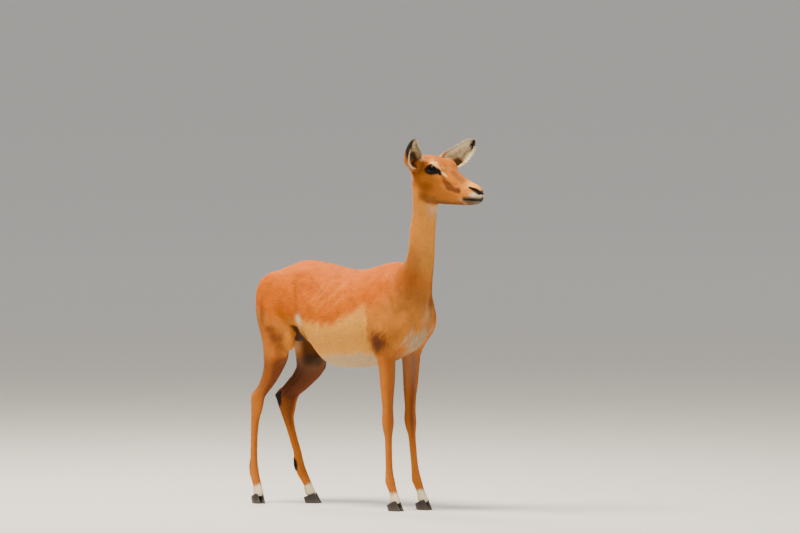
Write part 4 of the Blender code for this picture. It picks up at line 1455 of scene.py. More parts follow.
            # black over the inner thigh's front and the inner lower leg is painted shade; the inner thigh's
            # white is its own
            made[:, BLACK] = most(made[:, BLACK], 0.74 * thigh * (1 - rear), inner_shade)
        layers[near] = made

    def _tail(self, points: Array, wavy: Array, layers: Array) -> None:
        """Lays the tail's colours over the layers."""
        near = on_tail(points, 0.745)
        down = from_curve(points[near], TAIL_LINE)[1]
        across, wavy = np.abs(points[near, 1]), wavy[near]
        line = ease(0.0065, 0.004, across + wavy * 0.3) * ease(0.02, 0.12, down)
        edges = ease(0.009, 0.013, across + wavy * 0.5) * ease(0.25, 0.45, down)
        brush = ease(0.72, 0.86, down + wavy * 4)
        white, black = np.maximum(edges, 0.85 * brush), line * (1 - 0.7 * brush)
        layers[near] = layered(len(down), saddle=0.6, rust=0.25, white=white, black=black)

    def _ear(self, ear: Ear, points: Array, normals: Array, layers: Array) -> None:
        """Lays an ear's colours over the layers, with painted shade in its cup."""
        near = ear.holds(points, 0.02)
        points, normals = points[near], normals[near]
        share, turn, _ = ear.own(points)
        outer, inner = ear.walls(share)
        through_skin = ear.surface(share, turn, outer - 0.01) - ear.surface(share, turn, inner)
        inside = ease(0.2, -0.2, (normals * through_skin).sum(1) / 0.012)
        outward = turn * ear.side.value  # 1 at the outer rim, -1 at the inner one
        rim = ease(0.56, 0.74, np.abs(turn))
        fuzz = ripple(points, 0.006, 9) * 0.06
        tip = ease(0.58, 0.7, share + fuzz + 0.1 * outward)
        fringe = np.maximum(ease(-0.2, 0.2, outward), ease(0.4, 0.55, share)) * ease(0.88, 0.8, share)
        fringe = fringe * ease(0.86, 0.94, np.abs(turn) + fuzz * 0.5) * ease(0.1, 0.22, share)
        back = layered(
            len(share),
            saddle=0.55,
            rust=0.2 * ease(0.3, 0.7, share),
            cream=0.45 * ease(0.5, 0.1, share),
            white=0.85 * fringe,
            black=np.maximum(tip * (1 - fringe), 0.4 * ease(0.17, 0.07, share)),
        )
        streak = bell(np.abs(turn + fuzz * 3) - 0.24, 0.13)
        streak = streak * ease(0.25, 0.38, share) * ease(0.86, 0.7, share)
        # cleft and hollow: painted shade dark in the ear's cup, kept off its white rims
        cleft = ease(0.57, 0.51, share) * ease(-0.25, 0.15, outward) * ease(1.0, 0.9, outward)
        hollow = np.maximum(ease(0.34, 0.22, share), cleft) * (1 - rim * ease(0.6, 0.66, share))
        hollow = hollow * (1 - 0.8 * rim * ease(0.46, 0.4, share))
        dark = most(0.6 * streak, 0.03 * (1 - rim), 0.88 * hollow)
        front = layered(
            len(share),
            cream=0.9,
            white=np.maximum(0.86 - 0.3 * streak, rim) * (1 - 0.8 * hollow),
            black=dark + 0.95 * ease(0.83, 0.9, share + fuzz + 0.13 * outward),
        )
        if ear.side is Side.LEFT:
            limit = through(share, (0.0, -0.1), (0.25, -0.3), (0.42, -0.62), (0.55, -1.2))
            front = blended(front, back, ease(limit, limit - 0.12, outward + fuzz))
        layers[near] = blended(layers[near], blended(back, front, inside), ease(0.03, 0.1, share))


MARKINGS = Markings()


# ---- the lie of the coat
def lie_of_coat(points: Array) -> Array:
    """The way that the hair points at places on the animal.

    Args:
        points: the places.

    Returns:
        A direction for each, not yet flat on the skin.
    """
    x, z = points[:, 0], points[:, 2]
    across = np.sign(points[:, 1])
    zero = np.zeros_like(x)
    way = np.stack((zero - 1.0, zero, zero - 0.28), axis=1)

    def towards(share: Array, new: tuple | Array) -> None:
        """Turns the way towards a new one by a share."""
        way[:] = unit(way) * (1 - share[:, None]) + unit(np.asarray(new, float)) * share[:, None]

    towards(ease(-0.27, -0.34, x), (-0.25, 0.0, -1.0))
    towards(ease(0.2, 0.3, x) * ease(0.9, 0.8, z), (-0.45, 0.0, -1.0))
    towards(ease(0.33, 0.37, x) * ease(0.8, 0.74, z), np.stack((zero - 0.1, across * 0.25, zero - 1.0), 1))
    towards(ease(0.8, 0.88, z + (x - 0.32) * 0.8), (-0.16, 0.0, -1.0))
    by_legs = ease(0.56, 0.47, z) * (ease(0.17, 0.2, x) + ease(-0.1, -0.16, x))
    towards(np.clip(np.maximum(by_legs, ease(0.458, 0.44, z)), 0.0, 1.0), (-0.06, 0.0, -1.0))
    head = ease(-0.015, 0.015, above_nape(points))
    towards(head, np.stack((zero - 1.0, across * 0.16, zero + 0.1), 1))
    towards(head * ease(0.385, 0.35, x), (-0.5, 0.0, -1.0))
    for ear in EARS:
        towards(ear.holds(points, 0.0) * ease(0.0, 0.1, ear.own(points)[0]), ear.axes[2] + 0 * way)
    return unit(way)


# ---- the skin
def nets(mesh: Mesh) -> Array:
    """The mesh's edges, two vertex numbers each."""
    edges = np.empty(len(mesh.edges) * 2, np.int32)
    mesh.edges.foreach_get("vertices", edges)
    return edges.reshape(-1, 2)


def relaxed(points: Array, edges: Array, pull: Array, rounds: int, back: float = 0.0) -> Array:
    """The points after each has been drawn to the middle of its neighbours.

    Args:
        points: the points.
        edges: the pairs that are neighbours.
        pull: how far each is drawn in a round, from 0 to 1.
        rounds: how often.
        back: how far it is pushed out again in a round, as a share of the pull, to keep the volume.

    Returns:
        The moved points.
    """
    count = len(points)
    one, other = edges.T
    around = np.maximum(np.bincount(edges.ravel(), minlength=count), 1)[:, None]
    for _ in range(rounds):
        for share in (1.0, -back) if back else (1.0,):
            columns = []
            for axis in range(3):
                row = points[:, axis]
                columns.append(np.bincount(one, row[other], count) + np.bincount(other, row[one], count))
            points = points + (np.stack(columns, axis=1) / around - points) * (pull * share)[:, None]
    return points


def swollen(swelling: Swelling, side: Side) -> tuple[Array, list]:
    """A muscle's ball on one side."""
    bm = bmesh.new()
    bmesh.ops.create_icosphere(bm, subdivisions=4, radius=1.0)
    points = np.array([v.co for v in bm.verts]) * swelling.radii
    faces = [tuple(v.index for v in f.verts) for f in bm.faces]
    bm.free()
    turn = math.radians(swelling.turn)
    x, y, z = points.T
    ahead, up = x * math.cos(turn) + z * math.sin(turn), z * math.cos(turn) - x * math.sin(turn)
    return np.stack((ahead, y, up), axis=1) + np.array(swelling.centre) * (1.0, side.value, 1.0), faces


def from_parts(name: str, parts: Iterable[tuple[Array, list]]) -> Object:
    """One object of several closed forms, each facing outwards."""
    points, faces = [], []
    for new_points, new_faces in parts:
        start = sum(map(len, points))
        points.append(new_points)
        faces += [tuple(start + i for i in face) for face in new_faces]
    mesh = bpy.data.meshes.new(name)
    mesh.from_pydata(np.vstack(points).tolist(), [], faces)
    mesh.shade_smooth()
    return faced_out(new_object(name, mesh))


def coat_depth(points: Array) -> Array:
    """How far inside the coat's outline the skin lies."""
    head = ease(-0.03, 0.02, above_nape(points))
    face = 0.0013 - 0.0007 * ease(0.13, 0.2, points[:, 0] - HEAD_PLACE[0])
    trunk = 0.0012 + 0.0014 * ease(0.42, 0.56, points[:, 2])
    return trunk * (1 - head) + face * head


class Groove(NamedTuple):
    """A shallow groove in the skin."""

    line: Curve
    across: float  # as from_line has it; the line's own distances across are already shrunk
    depth: float
    width: float


BODY_GROOVES = (
    Groove(curve_mm((186, 20, 700), (190, 20, 540)), 0.2, 0.0046, 0.013),  # behind the triceps
    Groove(curve_mm((262, 20, 760), (300, 15, 690)), 0.2, 0.0034, 0.012),  # before the shoulder blade
    Groove(curve_mm((385, 32, 1000), (380, 40, 860), (372, 50, 740)), 1.0, 0.0025, 0.013),  # along the neck
)
FACE_GROOVES = ((CHEEK_HOLLOW, 0.0022, 0.01), (NOSE_SIDE, 0.001, 0.007), (JAW_EDGE, 0.0022, 0.0065))
HIP_HOLLOW = ((-0.08, 0.095, 0.735), (0.034, 0.06, 0.038))


@dataclass(frozen=True)
class Relief:
    """The forms that are pressed into the skin or raised on it."""

    nostril: float = 0.0065
    mouth: float = 0.0024
    rib: float = 0.0005
    rib_spacing: float = 0.031
    rib_slant: float = 0.45  # how far a rib runs back for each unit that it runs down
    crease: float = 0.0013
    groin: float = 0.02

    def shaped(self, points: Array, normals: Array) -> Array:
        """The points with all of the relief.

        Args:
            points: the skin's vertices.
            normals: the way out at each of them.

        Returns:
            The moved vertices.
        """
        rise = self._body(points) + self._face(points - HEAD_PLACE) * ease(0.0, 0.03, above_nape(points))
        points = points + normals * rise[:, None]
        for socket in SOCKETS:
            points = self._lids(socket, points)
        return points

    def _body(self, points: Array) -> Array:
        """How far the body and the legs are raised."""
        x, z = points[:, 0], points[:, 2]
        own = mirrored(points)
        flank = ease(0.045, 0.07, own[:, 1])
        ribs = np.cos((x - self.rib_slant * (z - 0.66)) / self.rib_spacing * 2 * math.pi)
        cage = ease(-0.08, -0.02, x) * ease(0.16, 0.11, x) * ease(0.54, 0.6, z) * ease(0.76, 0.71, z)
        rise = self.rib * ribs * cage * ease(0.07, 0.092, own[:, 1])
        rise += self.crease * bell(from_crease(points), 0.0062) * flank
        rise -= self.groin * in_groin(points)
        rise -= 0.0058 * bell(from_ball(own, *HIP_HOLLOW), 0.8)
        rise -= 0.0042 * bell(from_line(own, FLANK_LINE, 0.0), 0.011) * flank
        for groove in BODY_GROOVES:
            rise -= groove.depth * bell(from_line(own, groove.line, groove.across), groove.width)
        rise += 0.001 * bell(own[:, 1], 0.01) * ease(0.76, 0.79, z) * ease(0.2, 0.1, x)  # the spine
        for leg in LEGS:
            near = (points[:, 1] * leg.side.value > 0.0) & (z < 0.54)
            near &= (x > 0.12) if leg.pair is Pair.FORE else (x < -0.05)
            ahead, outward, up = leg.own(points[near]).T
            cannon = ease(0.24, 0.2, up) * ease(0.1, 0.13, up)
            groove = bell(ahead + 0.004, 0.0035) * cannon * 0.0014
            if leg.pair is Pair.HIND:
                string = through(up, (0.37, -0.034), (0.41, -0.038), (0.46, -0.04), (0.5, -0.04))
                beside = bell(ahead - string, 0.0075) * ease(0.372, 0.395, up) * ease(0.5, 0.45, up)
                groove = groove + 0.006 * beside
            rise[near] -= groove * ease(0.003, 0.008, np.abs(outward))
        return rise

    def _face(self, own: Array) -> Array:
        """How far the face is raised, from places in the head's own frame."""
        x = own[:, 0]
        nostril, down = from_side_line(own, NOSTRIL)
        width = through(down, (0.0, 0.003), (0.5, 0.0052), (1.0, 0.0036))
        rise = 0.0009 * bell(nostril - width - 0.0016, 0.0018)
        rise -= self.nostril * ease(width, width * 0.25, nostril)
        mouth, _ = from_side_line(own, MOUTH)
        rise -= self.mouth * bell(mouth, 0.0016) * ease(0.152, 0.165, x)
        rise += 0.0006 * bell(mouth - 0.004, 0.0022) * ease(0.165, 0.19, x)
        rise -= 0.0016 * bell(from_curve(own, PHILTRUM)[0], 0.0013)
        for curve, depth, reach in FACE_GROOVES:
            rise -= depth * bell(from_side_line(own, curve)[0], reach)
        return rise + 0.0002 * ripple(own, 0.006, 12)

    def _lids(self, socket: EyeSocket, points: Array) -> Array:
        """The points with the lids of one eye laid over the eyeball."""
        distance, share, turn = socket.shares(points)
        lid, ball = socket.lid, socket.radius
        goal = ball + lid - (lid + 0.0045) * (1 - ease(0.84, 1.0, share))
        goal = goal + 0.0006 * bell(share - 1.16, 0.1)
        near = ease(0.046, 0.036, distance)
        fold = 0.0014 * bell(share - 1.5, 0.08) * ease(0.15, 0.45, np.sin(turn))
        changed = distance + ((goal - distance) * (1 - ease(1.22, 1.8, share)) - fold) * near
        return socket.centre + (points - socket.centre) * (changed / distance)[:, None]


class Skin:
    """The one skin of trunk, neck, head, legs, tail and ears."""

    voxel = 0.0037
    most = 186000  # triangles, before the ears are joined on
    keep_volume = 1.04  # how far a round of smoothing is pushed back

    def __init__(self) -> None:
        """Melts the forms together and shapes them."""
        self.made = self._rough()
        self._refine()
        self._join_ears()
        mesh = self.made.data
        points, normals = points_of(mesh), normals_of(mesh)
        tones, marks = MARKINGS.of(points, normals)
        note(mesh, "tones", tones)
        note(mesh, "marks", marks)
        tint = 0.5 + 0.3 * ripple(points, 0.012, 21)
        note(mesh, "strand", np.stack((np.full_like(tint, 0.35), tint, 0 * tint), axis=1))
        lie = np.abs(lie_of_coat(points))
        level = ease(0.35, 0.65, lie[:, 0] / (lie[:, 0] + lie[:, 2] + 1e-6))
        note(mesh, "lie", np.stack((level, 1 - level, 0 * level), axis=1))

    def _rough(self) -> Object:
        """The forms melted into one, with the creases between them filled."""
        head = [s._replace(place=s.place + HEAD_PLACE[0]) for s in HEAD]
        parts = [
            loft(TRUNK, Axis.X, fullness=0.7),
            loft(NECK, Axis.Z),
            loft(head, Axis.X, step=0.002, points=41, fullness=0.62),
            loft(TAIL, Axis.Z),
        ]
        parts += [loft(leg.sections, Axis.Z, pose=leg.pose) for leg in LEGS]
        for side in Side:
            parts += [swollen(s, side) for s in MUSCLES]
            parts += [swollen(s._replace(centre=tuple(s.centre + HEAD_PLACE)), side) for s in HEAD_MUSCLES]
        made = from_parts("skin", parts)
        melt = made.modifiers.new("melt", "REMESH")
        melt.mode = "VOXEL"
        melt.voxel_size = self.voxel
        melt.use_smooth_shade = True
        keep_evaluated(made)
        return made

    def _refine(self) -> None:
        """Smooths the skin, sets it in by the coat's depth, makes the head finer and adds the relief."""
        mesh = self.made.data
        points, edges = points_of(mesh), nets(mesh)
        points = relaxed(points, edges, np.full(len(points), 0.5), 6, back=self.keep_volume)
        broad = ease(0.5, 0.58, points[:, 2]) * ease(0.02, -0.02, above_nape(points))
        broad *= ease(0.012, 0.03, from_curve(points, TAIL_LINE)[0])
        points = relaxed(points, edges, 0.5 * broad, 14)
        move_to(mesh, points)
        move_to(mesh, points - normals_of(mesh) * coat_depth(points)[:, None])
        bm = bmesh.new()
        bm.from_mesh(mesh)
        for level in range(3):
            self._split(bm, level)
        bm.to_mesh(mesh)
        bm.free()
        move_to(mesh, Relief().shaped(points_of(mesh), normals_of(mesh)))
        points = points_of(mesh)
        move_to(mesh, relaxed(points, nets(mesh), 0.4 * ease(0.0, 0.02, above_nape(points)), 1))
        triangles = sum(p.loop_total - 2 for p in mesh.polygons)
        if triangles > self.most:
            thin = self.made.modifiers.new("thin", "DECIMATE")
            thin.ratio = self.most / triangles
            keep_evaluated(self.made)

    def _split(self, bm: bmesh.types.BMesh, level: int) -> None:
        """Halves the edges where a level wants a finer mesh, and smooths the head."""
        bm.verts.index_update()
        near = self._wanted(np.array([v.co for v in bm.verts]), level)
        edges = [e for e in bm.edges if near[e.verts[0].index] and near[e.verts[1].index]]
        bmesh.ops.subdivide_edges(bm, edges=edges, cuts=1, use_grid_fill=True)
        fresh = bpy.data.meshes.new("level")
        bm.to_mesh(fresh)
        points = points_of(fresh)
        head = ease(-0.01, 0.01, above_nape(points))
        points = relaxed(points, nets(fresh), 0.5 * head, 3, back=self.keep_volume)
        for vertex, point in zip(bm.verts, points.tolist()):
            vertex.co = point
        bpy.data.meshes.remove(fresh)

    def _wanted(self, points: Array, level: int) -> Array:
        """Whether each point is in the head, near the eyes and muzzle, or at the face's edges, by level."""
        above = above_nape(points) > 0.0
        if level == 0:
            return above
        own = points - HEAD_PLACE
        eyes = np.linalg.norm(mirrored(own) - EYE_MIDDLE, axis=1)
        if level == 1:
            return (eyes < 0.04) | (above & (own[:, 0] > 0.15) & (points[:, 2] > 1.0))
        rim = np.min([np.abs(s.shares(points)[1] - 1.1) for s in SOCKETS], axis=0)
        lines = np.min([from_side_line(own, c)[0] for c in (NOSTRIL, MOUTH)], axis=0)
        return ((eyes < 0.027) & (rim < 0.34)) | (lines < 0.0065)

    def _join_ears(self) -> None:
        """Grows the ears out of the head."""
        shells = from_parts("ear_shells", [ear.shell() for ear in EARS])
        union = self.made.modifiers.new("ears", "BOOLEAN")
        union.operation = "UNION"
        union.solver = "EXACT"
        union.object = shells
        keep_evaluated(self.made)
        bpy.data.objects.remove(shells)
        mesh = self.made.data
        points = points_of(mesh)
        near = np.zeros(len(points))
        for ear in EARS:
            away = np.linalg.norm(points - ear.root, axis=1)
            near = np.maximum(near, bell(ear.own(points)[0] - 0.01, 0.06) * ease(0.03, 0.02, away))
        move_to(mesh, relaxed(points, nets(mesh), 0.35 * near, 4))
        mesh.shade_smooth()


# ---- the coat
class Region(Enum):
    """The parts of the animal whose coats are pieces of their own."""

    TRUNK_RIGHT = "trunk_right"
    TRUNK_LEFT = "trunk_left"
    NECK = "neck"
    HEAD = "head"
    TAIL = "tail"
    FORE_RIGHT = "leg_fore_right"
    FORE_LEFT = "leg_fore_left"
    HIND_RIGHT = "leg_hind_right"
    HIND_LEFT = "leg_hind_left"
    EAR_RIGHT = "ear_right"
    EAR_LEFT = "ear_left"


REGIONS = tuple(Region)


@dataclass(frozen=True)
class Growth:
    """How one region's coat grows."""

    count: int
    length: float
    width: float
    lift: float  # how far the tips stand off the skin
    stray: float = 0.1  # how unevenly it lies, in radians


GROWTHS = {  # by the part before the side in a region's name
    "TRUNK": Growth(46000, 0.015, 0.0019, 0.0022),
    "NECK": Growth(27000, 0.012, 0.0015, 0.0018),
    "HEAD": Growth(47000, 0.0068, 0.001, 0.001),
    "TAIL": Growth(8000, 0.03, 0.0018, 0.003, 0.16),
    "FORE": Growth(15000, 0.009, 0.0013, 0.0009),
    "HIND": Growth(21000, 0.0095, 0.0013, 0.001),
    "EAR": Growth(17000, 0.006, 0.0008, 0.0006),
}


def regions_of(points: Array) -> Array:
    """The number of the region that each point belongs to."""
    x, across, z = points[:, 0], np.abs(points[:, 1]), points[:, 2]

    def on_side(part: str) -> Array:
        """The number of a part's left or right region, by the side of each point."""
        left, right = (REGIONS.index(Region[f"{part}_{side}"]) for side in ("LEFT", "RIGHT"))
        return np.where(points[:, 1] > 0.0, left, right)

    region = on_side("TRUNK")
    region[(points - (0.33, 0.0, 0.785)) @ (0.62, 0.0, 0.72) > 0.0] = REGIONS.index(Region.NECK)
    region[above_nape(points) > 0.0] = REGIONS.index(Region.HEAD)
    outer = across > 0.03
    low = (z < 0.455) | ((z < 0.53) & (x > 0.19) & outer) | ((z < 0.56) & (x < -0.1) & outer)
    region[low] = np.where(x > 0.0, on_side("FORE"), on_side("HIND"))[low]
    region[on_tail(points, 0.75)] = REGIONS.index(Region.TAIL)
    for ear in EARS:
        region[ear.holds(points, 0.05, 0.006)] = REGIONS.index(Region[f"EAR_{ear.side.name}"])
    return region


def unwrapped(places: Array, region: Region) -> Array:
    """Where places lie on an unwrap of their region's form: round its axis and along it, from 0 to 1."""
    x, y, z = places.T
    if region in (Region.EAR_RIGHT, Region.EAR_LEFT):
        ear = EARS[region is Region.EAR_LEFT]
        along, turn, depth = ear.own(places)
        outer, inner = ear.walls(along)
        around = turn + np.where(depth > (outer + inner) / 2, 2.4, 0.0)
    elif region is Region.HEAD or "trunk" in region.value:
        core = 1.11 if region is Region.HEAD else 0.65
        around, along = np.arctan2(y, z - core), x
    else:
        around, along = np.arctan2(y - y.mean(), x - x.mean()), z
    flat = np.stack((around, along), axis=1)
    low, high = flat.min(axis=0), flat.max(axis=0)
    return 0.01 + 0.98 * (flat - low) / (high - low)


TUFT_FACES = np.array(((0, 2, 1), (0, 1, 3), (0, 3, 2), (1, 2, 3)))  # between root, tip and the waist's sides
WAIST = 0.42  # where a tuft is widest, as a share of its length
RIDGE = 0.22  # how far its sides lie below its ridge, as a share of its width
ROOTED = 0.0007  # how deep its root is in the skin
PATCH = 0.0015  # half the size of its patch on the unwrap
SHEEN_STRAY = 0.1  # how unevenly the tufts catch the light
HAIRLINE = 0.0345  # the height of the claws' upper edge, where the hair ends


@dataclass(frozen=True)
class Tufts:
    """Rows of tufts: where each is rooted and where its tip is, with the way out of the skin at both."""

    roots: Array
    tips: Array
    normals: Array
    widths: Array
    tones: Array
    marks: Array

    def piece(self, name: str, places: Array, material: Material, seed: int) -> Object:
        """All of the tufts as one mesh.

        Args:
            name: the piece's name.
            places: where each tuft lies on the unwrap.
            material: the tufts' material.
            seed: what its unevenness starts from.

        Returns:
            The object, in the row's frame.
        """
        rng = np.random.default_rng(seed)
        count = len(self.roots)
        span, width = self.tips - self.roots, self.widths[:, None]
        along = unit(span)
        side = unit(np.cross(along, self.normals)) * width / 2
        waist = self.roots + span * WAIST - unit(np.cross(side, along)) * width * RIDGE
        corners = np.stack((self.roots, self.tips, waist + side, waist - side), axis=1)
        faces = TUFT_FACES[None] + 4 * np.arange(count)[:, None, None]
        mesh = mesh_of(name, corners.reshape(-1, 3) - ORIGIN, faces.reshape(-1, 3))
        note(mesh, "tones", np.repeat(self.tones, 4, axis=0))
        note(mesh, "marks", np.repeat(self.marks, 4, axis=0))
        tint = np.repeat(rng.random(count), 4)
        note(mesh, "strand", np.stack((np.tile((0.0, 1.0, WAIST, WAIST), count), tint, 0 * tint), axis=1))
        patch = np.array(((0.0, -1.0), (0.0, 1.0), (-1.0, 0.0), (1.0, 0.0))) * PATCH
        spots = (places[:, None] + patch[None]).reshape(-1, 2)
        layer = mesh.uv_layers.new(name="OFBake")
        layer.data.foreach_set("uv", spots[faces.ravel()].astype(np.float32).ravel())
        bend = unit(self.normals + rng.normal(size=(count, 3)) * SHEEN_STRAY)
        mesh.normals_split_custom_set_from_vertices(np.repeat(bend, 4, axis=0).astype(np.float32))
        mesh.materials.append(material)
        return new_object(name, mesh)


class Coat:
    """The tufts that cover the skin."""

    def __init__(self, skin: Skin, material: Material) -> None:
        """Gets ready to root tufts on the skin."""
        mesh = skin.made.data
        mesh.calc_loop_triangles()
        corners = np.empty(len(mesh.loop_triangles) * 3, np.int32)
        mesh.loop_triangles.foreach_get("vertices", corners)
        self.corners = corners.reshape(-1, 3)
        self.points, self.normals = points_of(mesh), normals_of(mesh)
        self.tree = BVHTree.FromPolygons(self.points.tolist(), self.corners.tolist())
        a, b, c = (self.points[self.corners[:, i]] for i in range(3))
        facing = np.cross(b - a, c - a)
        self.areas, self.facing = np.linalg.norm(facing, axis=1) / 2, unit(facing)
        self.middles = (a + b + c) / 3
        self.regions = regions_of(self.middles)
        self.material = material
        self.share = 1.0

    def scattered(self, chosen: Array, count: int, seed: int) -> tuple[Array, Array]:
        """Even places on some of the skin's triangles.

        Args:
            chosen: the weight of each triangle, 0 for none.
            count: how many places.
            seed: what their unevenness starts from.

        Returns:
            The places and the ways out of the skin there.
        """
        rng = np.random.default_rng(seed)
        heaped = np.cumsum(self.areas * chosen)
        count = max(int(count * self.share), 8)
        picks = (np.arange(count) + rng.random(count)) / count * heaped[-1]
        rows = self.corners[np.minimum(np.searchsorted(heaped, picks), len(heaped) - 1)]
        one, other = np.sqrt(rng.random(count)), rng.random(count)
        weights = np.stack((1 - one, one * (1 - other), one * other), axis=1)[:, :, None]
        return (self.points[rows] * weights).sum(axis=1), unit((self.normals[rows] * weights).sum(axis=1))

    def landed(self, tips: Array, lifts: Array) -> Array:
        """The tips set down on the skin and lifted off it a little."""
        moved = np.empty_like(tips)
        for i, tip in enumerate(tips):
            place, normal, _, _ = self.tree.find_nearest(tip)
            moved[i] = np.array(place) + np.array(normal) * lifts[i]
        return moved

    def grow(self, region: Region) -> Object:
        """Covers one region in tufts."""
        growth = GROWTHS[region.name.partition("_")[0]]
        seed = 100 + REGIONS.index(region)
        roots, normals = self.scattered(self.regions == REGIONS.index(region), growth.count, seed)
        keep = roots[:, 2] > HAIRLINE
        length = np.full(len(roots), growth.length)
        if region is Region.HEAD:
            ahead = roots[:, 0] - HEAD_PLACE[0]
            length *= through(ahead, (-0.05, 1.5), (0.0, 1.1), (0.1, 0.9), (0.17, 0.55), (0.24, 0.42))
            for socket in SOCKETS:
                distance, share, _ = socket.shares(roots)
                length *= 1 - 0.5 * ease(2.2, 1.3, share) * ease(0.045, 0.035, distance)
                keep &= ~((share < 1.13) & (distance < 0.032))
        if region is Region.TAIL:
            length *= through(roots[:, 2], (0.52, 0.9), (0.6, 1.0), (0.74, 0.55))
        rng = np.random.default_rng(seed + 50)
        way = lie_of_coat(roots)
        way = way - normals * (way * normals).sum(axis=1, keepdims=True)
        way = unit(way + np.cross(normals, way) * rng.normal(size=(len(roots), 1)) * growth.stray)
        length *= rng.uniform(0.75, 1.2, len(roots))
        tones, marks = MARKINGS.of(roots + way * length[:, None] * 0.6, normals)
        keep &= marks[:, 2] < 0.5
        roots, normals, way, length = roots[keep], normals[keep], way[keep], length[keep]
        lifts = growth.lift * length / growth.length * rng.uniform(0.55, 1.15, len(roots))
        tips = self.landed(roots + way * length[:, None], lifts)
        widths = growth.width * (0.5 + 0.5 * length / growth.length) * rng.uniform(0.8, 1.2, len(roots))
        tufts = Tufts(roots - normals * ROOTED, tips, normals, widths, tones[keep], marks[keep])
        return tufts.piece(f"coat_{region.value}", unwrapped(roots, region), self.material, seed)


@dataclass(frozen=True)
class Strands:
    """A kind of longer hair."""

    count: int
    length: float
    width: float
    lift: float  # how far the tips stand off, as a share of the length
    marks: tuple | None = None  # white, black and bare for all of it, if it doesn't follow the coat's
    stray: float = 0.13  # how unevenly it hangs


BREAST_HAIR = Strands(2600, 0.02, 0.0014, 0.1)
GLAND_HAIR = Strands(900, 0.015, 0.0013, 0.22, (0.0, 1.0, 0.0))
EAR_HAIR = Strands(2600, 0.015, 0.0008, 0.1, (0.85, 0.0, 0.0))


class Trimmings:
    """The longer hair: on the breast, on the glands over the hind heels and in the ears."""

    def __init__(self, coat: Coat) -> None:
        """Takes the skin's places from the coat."""
        self.coat = coat

    def _piece(self, name: str, region: Region, strands: Strands, chosen: Array, way: Array) -> Object:
        """Long strands on some triangles.

        Args:
            name: the piece's name.
            region: whose unwrap they lie on.
            strands: what they are like.
            chosen: the weight of each triangle.
            way: the way they hang.

        Returns:
            The object.
        """
        seed = 300 + sum(map(ord, name))
        roots, normals = self.coat.scattered(chosen, strands.count, seed)
        rng = np.random.default_rng(seed)
        way = unit(way - normals * (normals @ way)[:, None] * (1 - strands.lift))
        way = unit(way + rng.normal(size=way.shape) * strands.stray)
        reach = strands.length * rng.uniform(0.6, 1.15, len(roots))[:, None]
        tips = roots + way * reach + normals * strands.lift * reach
        tones, marks = MARKINGS.of(roots, normals)
        if strands.marks is not None:
            marks = np.tile(strands.marks, (len(roots), 1))
        widths = strands.width * rng.uniform(0.7, 1.2, len(roots))
        tufts = Tufts(roots - normals * ROOTED, tips, normals, widths, tones, marks)
        return tufts.piece(name, unwrapped(roots, region), self.coat.material, seed)

    def _breast(self) -> Object:
        """The hair on the breast."""
        x, y, z = self.coat.middles.T
        across, facing = np.abs(y), self.coat.facing
        chosen = ease(0.3, 0.34, x) * ease(0.07, 0.045, across) * ease(0.53, 0.56, z) * ease(0.68, 0.6, z)
        chosen *= ease(-0.2, 0.3, facing[:, 0] - facing[:, 2] * 0.5)
        way = np.array((-0.1, 0.0, -1.0))
        return self._piece("coat_breast", Region.TRUNK_LEFT, BREAST_HAIR, chosen, way)

    def _gland(self, leg: Leg) -> Object:
        """The black tuft over a hind heel."""
        x, y, z = self.coat.middles.T
        near = (y * leg.side.value > 0.0) & (x < -0.05) & (z < 0.2)
        middle = from_ball(leg.own(self.coat.middles), (-0.016, 0.0, 0.138), (0.008, 0.012, 0.022))
        chosen = near * ease(1.1, 0.7, middle)
        region, way = Region[f"HIND_{leg.side.name}"], np.array((-0.25, 0.0, -1.0))
        return self._piece(f"coat_gland_{leg.side.word}", region, GLAND_HAIR, chosen, way)

    def _ear(self, ear: Ear) -> Object:
        """The white hair inside an ear's rims."""
        share, turn, depth = ear.own(self.coat.middles)
        region = Region[f"EAR_{ear.side.name}"]
        inside = (self.coat.regions == REGIONS.index(region)) & (depth > sum(ear.walls(share)) / 2)
        rim = inside * ease(0.05, 0.15, share) * ease(0.9, 0.8, share) * ease(0.55, 0.85, np.abs(turn))
        way = ear.axes[2] + 0.25 * ear.axes[0]
        return self._piece(f"coat_ear_{ear.side.word}_long", region, EAR_HAIR, rim, way)

    def all(self) -> list[Object]:
        """Every piece of longer hair."""
        pieces = [self._breast()]
        pieces += [self._gland(leg) for leg in LEGS if leg.pair is Pair.HIND]
        return pieces + [self._ear(ear) for ear in EARS]


# ---- eyes, lids and hooves
def capped(rings: Array) -> tuple[Array, Array]:
    """A closed skin of triangles over rings.

    Args:
        rings: rows of points, each row going round once.

    Returns:
        Its vertices and its triangles; the two last vertices are the ends' middles.
    """
    rows, around, _ = rings.shape
    points = np.vstack([rings.reshape(-1, 3), rings[0].mean(axis=0), rings[-1].mean(axis=0)])
    one = np.arange(around)
    other = (one + 1) % around
    last = (rows - 1) * around
    first_end = np.stack((other, one, np.full(around, rows * around)), axis=1)
    last_end = np.stack((last + one, last + other, np.full(around, rows * around + 1)), axis=1)
    return points, np.vstack([halved(wrapped(rows, around)), first_end, last_end])


